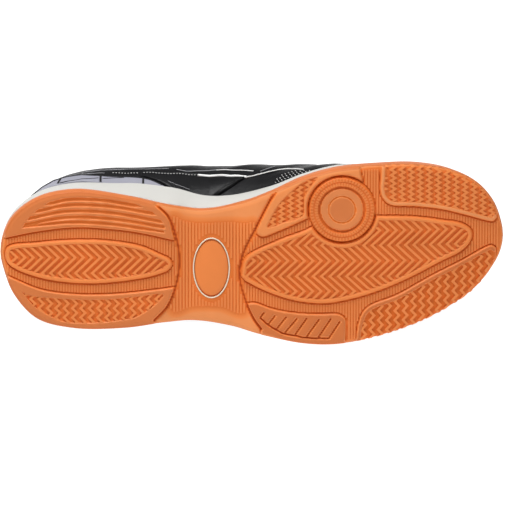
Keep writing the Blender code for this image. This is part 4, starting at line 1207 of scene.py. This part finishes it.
def ribCurves(q, samples=60):
    count = len(coarse)
    spot = np.mod(around([row[0] for row in ribRows], q, count), count)
    wrapped = np.vstack([footLoop, footLoop[:1]])
    foot = np.column_stack([np.interp(spot, range(count + 1), wrapped[:, k]) for k in range(2)])
    foot = np.column_stack([foot, foamTop(foot[:, 0]) + sizes["gap"]])
    top = ribVector("top", q)
    lead, tail = foot + ribVector("lead", q), top + ribVector("tail", q)
    u = np.linspace(0, 1, samples)[:, None, None]
    v = 1 - u
    return v ** 3 * foot + 3 * u * v * v * lead + 3 * u * u * v * tail + u ** 3 * top


def ribLengths(q):
    q = np.asarray(q, float)
    lengths = np.linalg.norm(np.diff(ribCurves(q.ravel()), axis=0), axis=2).sum(axis=0)
    return lengths.reshape(q.shape)


def skin(q, share):
    q, share = np.broadcast_arrays(np.asarray(q, float), np.asarray(share, float))
    shape = q.shape
    q, share = q.ravel(), share.ravel()
    curves = ribCurves(q)
    steps = np.linalg.norm(np.diff(curves, axis=0), axis=2)
    run = np.vstack([np.zeros(len(q)), np.cumsum(steps, axis=0)])
    target = share * run[-1]
    level = np.clip((run < target).sum(axis=0) - 1, 0, len(curves) - 2)
    pick = np.arange(len(q))
    part = (target - run[level, pick]) / (run[level + 1, pick] - run[level, pick])
    result = curves[level, pick] * (1 - part[:, None]) + curves[level + 1, pick] * part[:, None]
    return result.reshape(*shape, 3)


def outwardOf(q, share):
    along = skin(q + 0.04, share) - skin(q - 0.04, share)
    up = skin(q, np.minimum(share + 0.015, 1.0)) - skin(q, np.maximum(share - 0.015, 0.0))
    normal = np.cross(along, up)
    return normal / np.linalg.norm(normal, axis=-1)[..., None]


def lifted(q, share, lift):
    q, share = np.broadcast_arrays(np.asarray(q, float), np.asarray(share, float))
    return skin(q, share) + outwardOf(q, share) * np.broadcast_to(lift, q.shape)[..., None]


def wallOf(q, share):
    pad = around([row[1]["pad"] for row in ribRows], q)
    return sizes["wall"] + (pad - sizes["wall"]) * smooth((share - 0.5) / 0.35)


def onSkin(rows, count, lift, overPanels=False):
    spots = through(rows, count)
    q, up = spots[:, 0], spots[:, 1]
    lengths = ribLengths(q)
    if spots.shape[1] == 3:
        lift = lift + spots[:, 2]
    elif overPanels:
        rise = panelTop(q, up)
        lift = lift + rise + softForm(q, up / lengths, lengths) * (1 - np.clip(rise / 0.4, 0, 1))
    return lifted(q, up / lengths, lift)


# Soft troughs and ridges: start and end as rib and height up from the foam edge, half width, depth
creases = (
    ((6.2, 9.0), (7.4, 20.0), 3.2, 0.7), ((7.0, 8.0), (8.0, 30.0), 3.5, 0.9),
    ((8.1, 14.0), (8.9, 44.0), 3.6, 1.0), ((8.9, 20.0), (10.2, 46.0), 3.2, -0.5),
    ((13.4, 18.0), (12.6, 46.0), 3.4, 0.7), ((14.2, 16.0), (13.6, 40.0), 3.2, 0.6),
    ((3.3, 24.0), (4.2, 40.0), 3.4, 0.8), ((4.3, 26.0), (5.2, 44.0), 3.6, -0.7),
    ((18.4, 22.0), (17.4, 42.0), 3.4, 0.7), ((1.2, 24.0), (2.8, 20.0), 3.0, 0.5),
    ((20.6, 24.0), (19.2, 22.0), 3.0, 0.5), ((5.4, 24.0), (6.6, 36.0), 3.6, -0.6),
)
creaseLook = {"perRib": 15.0, "ends": 0.35, "middle": 0.65, "from": 0.06, "to": 0.97, "soft": 0.12}


def softForm(q, share, lengths):
    form = np.zeros(q.shape)
    perRib = creaseLook["perRib"]
    metric = np.stack([np.mod(q, ribCount) * perRib, share * lengths], -1)
    for start, end, width, depth in creases:
        a, b = np.array([start[0] * perRib, start[1]]), np.array([end[0] * perRib, end[1]])
        along = b - a
        t = np.clip(((metric - a) @ along) / (along @ along), 0, 1)
        away = np.linalg.norm(metric - a - t[..., None] * along, axis=-1)
        swell = creaseLook["ends"] + creaseLook["middle"] * np.sin(np.pi * np.clip(t, 0.02, 0.98))
        form -= depth * np.exp(-(away / width) ** 2) * swell
    form = form * smooth((share - creaseLook["from"]) / creaseLook["soft"])
    return form * smooth((creaseLook["to"] - share) / creaseLook["soft"])


def upperMesh():
    detail = {"perRib": 12, "outer": 46, "rim": 7, "inner": 16, "roll": 0.32}
    q = np.arange(ribCount * detail["perRib"]) / detail["perRib"]
    lengths = ribLengths(q)
    rows = []
    for share in np.linspace(0, 1, detail["outer"]):
        level = np.full(len(q), share)
        rows.append(lifted(q, level, softForm(q, level, lengths)))
    top = np.ones(len(q))
    out, thick = outwardOf(q, top), wallOf(q, top)
    up = skin(q, top) - skin(q, top - 0.02)
    up /= np.linalg.norm(up, axis=1)[:, None]
    middle = skin(q, top) - out * (thick / 2)[:, None]
    for angle in np.linspace(0, np.pi, detail["rim"] + 2)[1:-1]:
        roll = out * (np.cos(angle) * thick / 2)[:, None]
        roll = roll + up * (np.sin(angle) * thick * detail["roll"])[:, None]
        rows.append(middle + roll)
    for share in np.linspace(1, 0, detail["inner"]):
        level = np.full(len(q), share)
        rows.append(lifted(q, level, -wallOf(q, level)))
    rows[-1][:, 2] = rows[0][:, 2]
    count = len(q)
    faces, kinds = [], []
    for level in range(len(rows)):
        first = np.arange(count) + level * count
        second = np.arange(count) + (level + 1) % len(rows) * count
        faces += bridge(first, second).tolist()
        kinds += [0 if level < detail["outer"] else 1] * count
    return np.vstack(rows), faces, kinds


points, faces, kinds = upperMesh()
addPiece("upperShell", points, faces, [leather, lining], ("upper",), rows=kinds, sharp=70.0)
print("upper", len(faces))


# Overlays on the upper, with rounded edges

def overlayPiece(name, q, low, high, material, nodes, crown=0.0):
    detail = {"rows": 14, "edge": 0.5}
    base, thick = sizes["gap"], sizes["overlay"]
    lengths = ribLengths(q)
    level = np.linspace(0, 1, detail["rows"])[:, None]
    up = low + (high - low) * level
    share = up / lengths
    grid = np.broadcast_to(q, share.shape)
    edgeUp = np.minimum(up - low, high - up)
    side = np.minimum(np.arange(len(q)), np.arange(len(q))[::-1])
    rounding = smooth(edgeUp / detail["edge"] + 0.35) * smooth(side / 2 + 0.35)[None, :]
    swell = crown * np.sin(np.pi * level) * np.sin(np.pi * np.linspace(0, 1, len(q)))[None, :]
    outer = lifted(grid, share, base + thick * rounding + swell)
    inner = lifted(grid, share, np.full(share.shape, base * 0.3))
    points, faces = twoSided(outer, inner)
    return addPiece(name, points, faces, [material], nodes, sharp=60.0)


counterTop = ((0.0, 10.5), (1.3, 10.5), (2.0, 10.5), (2.4, 9.8), (2.8, 8.7), (3.1, 9.0), (3.5, 11.0),
              (3.8, 12.2), (4.15, 9.4), (4.5, 2.6))
counterEnd = counterTop[-1][0]
saddleTop = ((3.72, 17.0), (4.12, 20.6), (4.87, 24.4), (5.5, 19.8), (6.05, 15.8))
saddle = {"from": 3.72, "slant": 5.2, "to": 6.05, "front": 13.0, "crown": 0.7}
facing = {"from": 5.0, "width": 14.0, "wider": 5.0, "widerFrom": 1.5, "widerOver": 3.0, "edge": 1.0}
panelSoft = {"up": 0.8, "along": 0.06}
onPanel = sizes["gap"] + sizes["overlay"]


def saddleLow(size):
    front = saddle["front"] * np.clip((size - saddle["slant"]) / (saddle["to"] - saddle["slant"]), 0, 1)
    return np.maximum(np.where(size < counterEnd, hermite(counterTop, size), 0.0) + 1.2, 1.0 + front)


def panelTop(q, up):
    size = np.abs(q)
    counter = onPanel * smooth((hermite(counterTop, size) - up) / panelSoft["up"] + 0.5) * (size < counterEnd)
    low, high = saddleLow(size), hermite(saddleTop, size)
    level = np.clip((up - low) / np.maximum(high - low, 0.1), 0, 1)
    across = np.clip((size - saddle["from"]) / (saddle["to"] - saddle["from"]), 0, 1)
    within = smooth((high - up) / panelSoft["up"] + 0.5) * smooth((up - low) / panelSoft["up"] + 0.5)
    ends = smooth((size - saddle["from"]) / panelSoft["along"])
    within *= ends * smooth((saddle["to"] - size) / panelSoft["along"])
    crown = saddle["crown"] * np.sin(np.pi * level) * np.sin(np.pi * across)
    return np.maximum(counter, within * (onPanel + crown))


def facingWidth(q):
    away = np.abs(q - toeIndex)
    return facing["width"] + facing["wider"] * smooth((away - facing["widerFrom"]) / facing["widerOver"])


q = np.linspace(-counterEnd, counterEnd, 220)
overlayPiece("heelCounter", q, np.full(len(q), 1.0), hermite(counterTop, np.abs(q)), counterSkin,
             ("heel_counter",))
for name, node, sign in (("saddleMedial", "saddle_medial", 1.0), ("saddleLateral", "saddle_lateral", -1.0)):
    q = np.sort(sign * np.linspace(saddle["from"], saddle["to"], 70))
    size = np.abs(q)
    overlayPiece(name, q, saddleLow(size), hermite(saddleTop, size), panel, (node,),
                 saddle["crown"])
q = np.linspace(facing["from"], ribCount - facing["from"], 190)
lengths = ribLengths(q)
overlayPiece("laceFacing", q, lengths - facingWidth(q), lengths - facing["edge"], panel,
             ("eyestay",))
print("overlays")


# Piping, seams and bars on both sides: rib, height up from the foam edge, and lift where it is given

# Besides piping, seams and bars, the table holds black cords on the counter's creases, painted shade, and a
# grey line along the top silhouette, partly a painted highlight.
pipes = {
    "pipingThick": {"radius": 0.78, "material": piping, "rise": 0.0, "lines": (
        ((5.03, 21.0, 1.7), (5.49, 19.5, 1.6), (5.7, 17.8, 1.55), (5.83, 16.7, 1.5), (5.95, 15.3, 1.25),
         (6.07, 14.2, 0.5)),)},
    "pipingThin": {"radius": 0.36, "material": piping, "rise": 0.0, "lines": (
        ((6.07, 14.2, 0.5), (6.2, 14.2, 0.25), (6.34, 14.1, 0.2), (6.59, 14.2, 0.2), (6.83, 12.8, 0.2),
         (6.97, 10.2, 0.2), (7.17, 5.8, 0.2)),)},
    "pipingUp": {"radius": 0.26, "material": threadAndHighlight, "rise": 0.15, "lines": (
        ((4.53, 27.4), (4.76, 27.4), (5.05, 28.2), (5.32, 28.3), (5.5, 27.3)),)},
    "pipingCrest": {"radius": 0.3, "material": piping, "rise": 0.15, "lines": (
        ((5.44, 27.7), (5.62, 26.3), (5.92, 23.2), (6.2, 19.2)),)},
    # The second grey line runs along the top silhouette: a seam edge with a painted highlight on it.
    "greySeamsAndHighlight": {"radius": 0.2, "material": threadAndHighlight, "rise": 0.1, "lines": (
        ((6.34, 17.2), (6.48, 18.8), (6.62, 21.0)),
        ((2.57, 18.2), (3.08, 19.0), (3.5, 21.3), (4.33, 27.4)), ((2.3, 13.0), (2.7, 13.6), (3.05, 14.6)),)},
    "panelEdge": {"radius": 0.14, "material": threadAndHighlight, "rise": 0.05, "lines": (
        ((4.28, 12.8), (4.49, 10.8), (4.8, 8.8)),)},
    "seamDark": {"radius": 0.3, "material": blackThreadAndShade, "rise": 0.0, "lines": (
        ((5.48, 6.0), (5.73, 10.2), (5.93, 13.0)), ((5.36, 5.5), (5.62, 10.0), (5.82, 12.8)),)},
    "counterBars": {"radius": 0.66, "material": blackThreadAndShade, "rise": 0.0, "lines": (
        ((2.02, 1.6), (2.08, 10.0)), ((2.98, 1.6), (2.98, 8.6)), ((3.77, 2.0), (3.77, 11.8)),)},
    "counterRear": {"radius": 0.6, "material": blackThreadAndShade, "rise": 0.0, "lines": (
        ((0.0, 10.1, 1.45), (0.7, 10.1, 1.45), (1.3, 10.1, 1.45), (1.75, 10.1, 1.45), (2.0, 10.1, 1.45)),)},
    "counterEdge": {"radius": 0.42, "material": blackThreadAndShade, "rise": 0.0, "lines": (
        ((2.0, 10.1, 1.45), (2.4, 9.4, 1.45), (2.8, 8.3, 1.45), (3.1, 8.6, 1.45), (3.5, 10.6, 1.45),
         (3.8, 11.8, 1.45), (4.15, 9.0, 1.45)),)},
    # Two black cords follow creases in the counter: painted shade in the creases.
    "counterCreaseShade": {"radius": 0.26, "material": blackThreadAndShade, "rise": 0.0, "lines": (
        ((2.06, 1.6), (2.37, 2.0), (2.67, 3.6), (2.94, 5.6)), ((3.02, 5.6), (3.22, 7.5), (3.42, 9.4)),)},
}


def mirrored(lines):
    return list(lines) + [tuple((-row[0], *row[1:]) for row in line) for line in lines]


for name, look in pipes.items():
    paths = [onSkin(line, 60, look["rise"], True) for line in mirrored(look["lines"])]
    cordPiece(name, paths, look["radius"], 8, look["material"])


def headingOf(along, normal):
    x = along / np.linalg.norm(along)
    z = normal - x * (normal @ x)
    z /= np.linalg.norm(z)
    return Matrix(np.column_stack([x, np.cross(z, x), z]).tolist()).to_euler()[:]


def markPiece(name, spots, aheads, normals, size, material, slot):
    headings = [headingOf(lay @ a, lay @ n) for a, n in zip(aheads, normals)]
    mesh = runTree(marks, place(spots), [], headings, Size=[s * mm for s in size], Material=material)
    return finishPiece(name, mesh, [material])


def spacedAlong(path, pitch, *others):
    run = np.concatenate([[0.0], np.cumsum(np.linalg.norm(np.diff(path, axis=0), axis=1))])
    level = np.interp(np.arange(pitch / 2, run[-1], pitch), run, np.arange(len(path)))
    first = np.minimum(level.astype(int), len(path) - 2)
    part = (level - first)[:, None]
    tracks = (path, np.gradient(path, axis=0), *others)
    return [track[first] * (1 - part) + track[first + 1] * part for track in tracks]


def stitchLine(rows, pitch, lift, overPanels):
    path = onSkin(rows, 400, lift, overPanels)
    spots = through(rows, 400)
    normals = outwardOf(spots[:, 0], spots[:, 1] / ribLengths(spots[:, 0]))
    return spacedAlong(path, pitch, normals)


def stitchPiece(name, lines, pitch, lift, size, material, overPanels=False):
    parts = [stitchLine(rows, pitch, lift, overPanels) for rows in lines]
    spots, aheads, normals = (np.vstack([part[k] for part in parts]) for k in range(3))
    return markPiece(name, spots, aheads, normals, size, material, "black_leather")


stitch = {"pitch": 2.4, "size": (1.7, 0.5, 0.4)}
seamRows = (((3.19, 15.4), (3.39, 15.6), (3.55, 16.6), (3.69, 17.7)),
            ((3.76, 16.5), (3.91, 17.8), (4.12, 18.4), (4.34, 19.4), (4.72, 21.2), (5.03, 20.8)))
stitchPiece("pipingStitches", mirrored(seamRows), 1.8, 0.2, (1.0, 0.42, 0.4), piping, True)
facingRibs = np.concatenate([np.linspace(5.05, toeIndex, 40), np.linspace(toeIndex, ribCount - 5.05, 40)[1:]])
facingLengths = ribLengths(facingRibs)
facingLines = [np.column_stack([facingRibs, facingLengths - facingWidth(facingRibs) + 1.6]),
               np.column_stack([facingRibs, facingLengths - 2.6])]
stitchPiece("facingStitches", facingLines, stitch["pitch"], onPanel, stitch["size"], threadAndHighlight)
collar = np.linspace(-4.9, 4.9, 60)
collarLine = [np.column_stack([collar, ribLengths(collar) - 9.0])]
stitchPiece("collarStitches", collarLine, stitch["pitch"], 0.1, stitch["size"], threadAndHighlight, True)


def meshTicks():
    look = {"fromRib": 6.67, "toRib": 7.27, "columns": 11, "ups": (2.4, 4.6, 6.8, 9.0),
            "top": ((6.6, 3.9), (6.66, 5.2), (6.75, 8.0), (6.9, 9.3), (7.17, 5.9), (7.3, 4.2)),
            "clear": 0.8, "lift": 0.2, "slant": 0.02, "size": (1.4, 0.34, 0.3)}
    spots, aheads, normals = [], [], []
    for q in np.linspace(look["fromRib"], look["toRib"], look["columns"]):
        for row, up in enumerate(look["ups"]):
            if up + look["clear"] > hermite(look["top"], q):
                continue
            spot = np.array([q + 0.5 * (row % 2) * (look["toRib"] - look["fromRib"]) / look["columns"]])
            lengths = ribLengths(spot)
            at = np.array([up]) / lengths
            rise = look["lift"] + softForm(spot, at, lengths)
            spots.append(lifted(spot, at, rise)[0])
            later = lifted(spot + look["slant"], at - 1.0 / lengths, rise)[0]
            aheads.append(later - spots[-1])
            normals.append(outwardOf(spot, at)[0])
    return np.array(spots), np.array(aheads), np.array(normals), look["size"]


spots, aheads, normals, size = meshTicks()
markPiece("meshTicks", spots, aheads, normals, size, piping, "black_leather")
print("seams")


# Tongue, lace, eyelets and footbed

tongueTop = ((106.0, 92.0, 13.5, 2.5), (99.0, 98.5, 18.0, 4.0), (88.0, 106.0, 20.0, 6.0))
tongueRibs, tongueTuck = (8.3, 7.6, 6.9, 6.2, 5.7, 5.3), (3.0, 8.0, 10.0, 9.0, 5.0, 1.0)


def tongueSections():
    sections = []
    for rib, tuck in zip(tongueRibs, tongueTuck):
        edges = []
        for q in (rib, ribCount - rib):
            q = np.full(2, q)
            share = 1 - np.array([tuck, 0.0]) / ribLengths(q)
            edges.append(lifted(q, share, -(wallOf(q, share) + 0.6)))
        medial, lateral = edges
        across = lateral[1] - medial[1]
        crown = np.array([0, 0, 0.4 * np.linalg.norm(across)])
        middle = [medial[1] + across * u + crown * u * (1 - u) for u in (0.25, 0.5, 0.75)]
        sections.append(np.vstack([medial, middle, lateral[::-1]]))
    for x, z, half, crown in tongueTop:
        y = np.linspace(-half, half, 7)
        sections.append(np.column_stack([np.full(7, x), y, z - crown * (y / half) ** 2]))
    return np.array(sections)


def tongueMesh():
    detail = {"across": 33, "along": 110, "thick": 4.5,
              "corner": 0.42, "cornerFrom": 0.86, "cornerOver": 0.14,
              "quilt": 0.35, "channels": 9, "quiltFrom": 0.72, "quiltOver": 0.06, "settle": 0.35}
    hemLook = {"from": 76, "to": 103, "inset": 3, "sink": 0.15}
    wide = np.array([through(section, detail["across"]) for section in tongueSections()])
    top = np.stack([through(wide[:, k], detail["along"]) for k in range(detail["across"])], 1)
    end = np.linspace(0, 1, detail["along"])
    turn = np.clip((end - detail["cornerFrom"]) / detail["cornerOver"], 0, 1)
    corner = 1 - detail["corner"] * (1 - np.sqrt(1 - turn ** 2))
    centre = top[:, detail["across"] // 2][:, None]
    top = centre + (top - centre) * corner[:, None, None]
    run = np.gradient(top[:, detail["across"] // 2], axis=0)
    below = np.column_stack([run[:, 2], np.zeros(len(run)), -run[:, 0]])
    below /= np.linalg.norm(below, axis=1)[:, None]
    below *= -np.sign(below[:, 2])[:, None]
    side = np.linspace(-1, 1, detail["across"])
    rounding = np.sqrt(np.clip(1 - np.abs(side) ** 6, 0, 1))[None, :]
    rounding = rounding * np.sqrt(np.clip(1 - end ** 24, 0.0, 1))[:, None]
    rolls = np.abs(np.sin(end * detail["channels"] * np.pi))
    quilt = detail["quilt"] * rolls[:, None] * (1 - side ** 2)[None, :]
    quilt = quilt * smooth((end - detail["quiltFrom"]) / detail["quiltOver"])[:, None]
    half = detail["thick"] / 2
    middle = top + half * below[:, None, :]
    upperSide = middle - (half * rounding - detail["settle"] + quilt)[..., None] * below[:, None, :]
    lowerSide = middle + (half * rounding)[..., None] * below[:, None, :]
    points, faces = twoSided(upperSide, lowerSide)
    first, last, inset = hemLook["from"], hemLook["to"], hemLook["inset"]
    near, far = inset, detail["across"] - 1 - inset
    level = np.concatenate([np.arange(first, last), np.full(far - near - 1, last),
                            np.arange(last - 1, first - 1, -1)])
    across = np.concatenate([np.full(last - first, near), np.arange(near + 1, far),
                             np.full(last - first, far)])
    border = (upperSide - hemLook["sink"] * below[:, None, :])[level, across]
    return points, faces, wide, spacedAlong(border, stitch["pitch"], -below[level])


points, faces, tongueWide, hem = tongueMesh()
tongue = addPiece("tonguePad", points, faces, [lining], ("tongue",), sharp=60.0)
markPiece("tongueStitches", *hem, stitch["size"], threadAndHighlight, "black_fabric")

eyelet = {"pairs": 6, "from": 5.2, "to": 8.1, "inset": 8.0, "rim": 2.5, "wire": 0.55}
laceLook = {"radius": 1.7, "ease": 0.6, "reach": 3.0, "points": 7, "sink": 1.0, "slim": 0.1}
eyeRib = np.linspace(eyelet["from"], eyelet["to"], eyelet["pairs"])
eyeQ = np.column_stack([eyeRib, ribCount - eyeRib])
eyeShare = 1 - eyelet["inset"] / ribLengths(eyeQ)
eyePoint = lifted(eyeQ, eyeShare, onPanel)
eyeOut = outwardOf(eyeQ, eyeShare)


def eyeletRims():
    paths = []
    sweep = np.linspace(0, 2 * np.pi, 20, endpoint=False)
    for point, out in zip(eyePoint.reshape(-1, 3), eyeOut.reshape(-1, 3)):
        first = np.cross(out, (1.0, 0.0, 0.0))
        first /= np.linalg.norm(first)
        second = np.cross(out, first)
        circle = np.cos(sweep)[:, None] * first + np.sin(sweep)[:, None] * second
        paths.append(point + eyelet["rim"] * circle)
    return paths


cordPiece("eyeletRims", eyeletRims(), eyelet["wire"], 8, eyeletMetal, True)


def lacePaths():
    q = np.linspace(facing["from"], ribCount - facing["from"], 120)
    share = 1 - np.linspace(0.5, facing["width"], 14)[:, None] / ribLengths(q)
    outside = lifted(np.broadcast_to(q, share.shape), share, onPanel)
    pad = np.array([through(tongueWide[:, k], 60) for k in range(0, tongueWide.shape[1], 2)])
    below = np.vstack([outside.reshape(-1, 3), pad.reshape(-1, 3)])
    pairs = [(eyePoint[k, s], eyePoint[k + 1, 1 - s]) for k in range(eyelet["pairs"] - 1) for s in (0, 1)]
    pairs.append((eyePoint[-1, 0], eyePoint[-1, 1]))
    paths = []
    for start, end in pairs:
        path = np.linspace(start, end, laceLook["points"])
        for point in path:
            near = np.linalg.norm(below[:, :2] - point[:2], axis=1) < laceLook["reach"]
            highest = max(point[2], below[near, 2].max())
            point[2] = highest + laceLook["radius"] + laceLook["ease"] + sizes["gap"]
        sunk = np.array([0.0, 0.0, laceLook["sink"]])
        paths.append(through(np.vstack([start - sunk, path, end - sunk]), 44))
    return paths


cordPiece("laceCrossings", lacePaths(), laceLook["radius"] - laceLook["slim"], 12, laceFabric,
          nodes=("lace",))
print("tongue and lace")


def footbedMesh():
    look = {"clear": 2.6, "thick": 4.5, "draw": 0.06, "cup": 1.2, "cupTo": 70.0, "cupOver": 40.0,
            "arch": 1.6, "archFrom": 85.0, "archTo": 165.0, "archOver": 30.0}
    rows = (  # share of the half width, height as a share of the thickness
        (1.0, 0.0), (1.0, 0.7), (0.992, 0.9), (0.975, 1.0), (0.93, 1.0), (0.85, 0.98), (0.72, 0.95),
        (0.55, 0.92), (0.36, 0.9), (0.18, 0.89), (0.04, 0.89))
    loop = soleLoop(150, 0.8)
    edge = insetLoop(loop, footEdge(loop) + sizes["wall"] + look["clear"])
    middle = (edge + edge[-np.arange(len(edge))]) / 2
    middle[:, 0] += look["draw"] * ((edge[:, 0].min() + edge[:, 0].max()) / 2 - middle[:, 0])
    cup = look["cup"] * smooth((look["cupTo"] - edge[:, 0]) / look["cupOver"])
    inArch = smooth((edge[:, 0] - look["archFrom"]) / look["archOver"])
    inArch = inArch * smooth((look["archTo"] - edge[:, 0]) / look["archOver"])
    swell = cup + look["arch"] * inArch * (edge[:, 1] < middle[:, 1])
    rings = []
    for share, level in rows:
        flat = middle + (edge - middle) * share
        rise = look["thick"] * level + swell * share ** 3 * level
        rings.append(np.column_stack([flat, foamTop(flat[:, 0]) + sizes["gap"] + rise]))
    return stackPiece(rings)


points, faces = footbedMesh()
footbed = addPiece("footbed", points, faces, [footbedCloth], ("insole",), sharp=60.0)
print("footbed")


# Floor

floorMaterial, _, floorShader = blankMaterial("paleFloor", 0.9)
floorShader.inputs["Base Color"].default_value = (0.3, 0.3, 0.3, 1.0)
floorShader.inputs["Emission Color"].default_value = (1.0, 1.0, 1.0, 1.0)
floorShader.inputs["Emission Strength"].default_value = 0.95
floorMesh = bpy.data.meshes.new("floor")
floorMesh.from_pydata([(-4, -4, 0), (4, -4, 0), (4, 4, 0), (-4, 4, 0)], [], [(0, 1, 2, 3)])
floorMesh.materials.append(floorMaterial)
floor = bpy.data.objects.new("floor", floorMesh)
scene.collection.objects.link(floor)

print("pieces done")
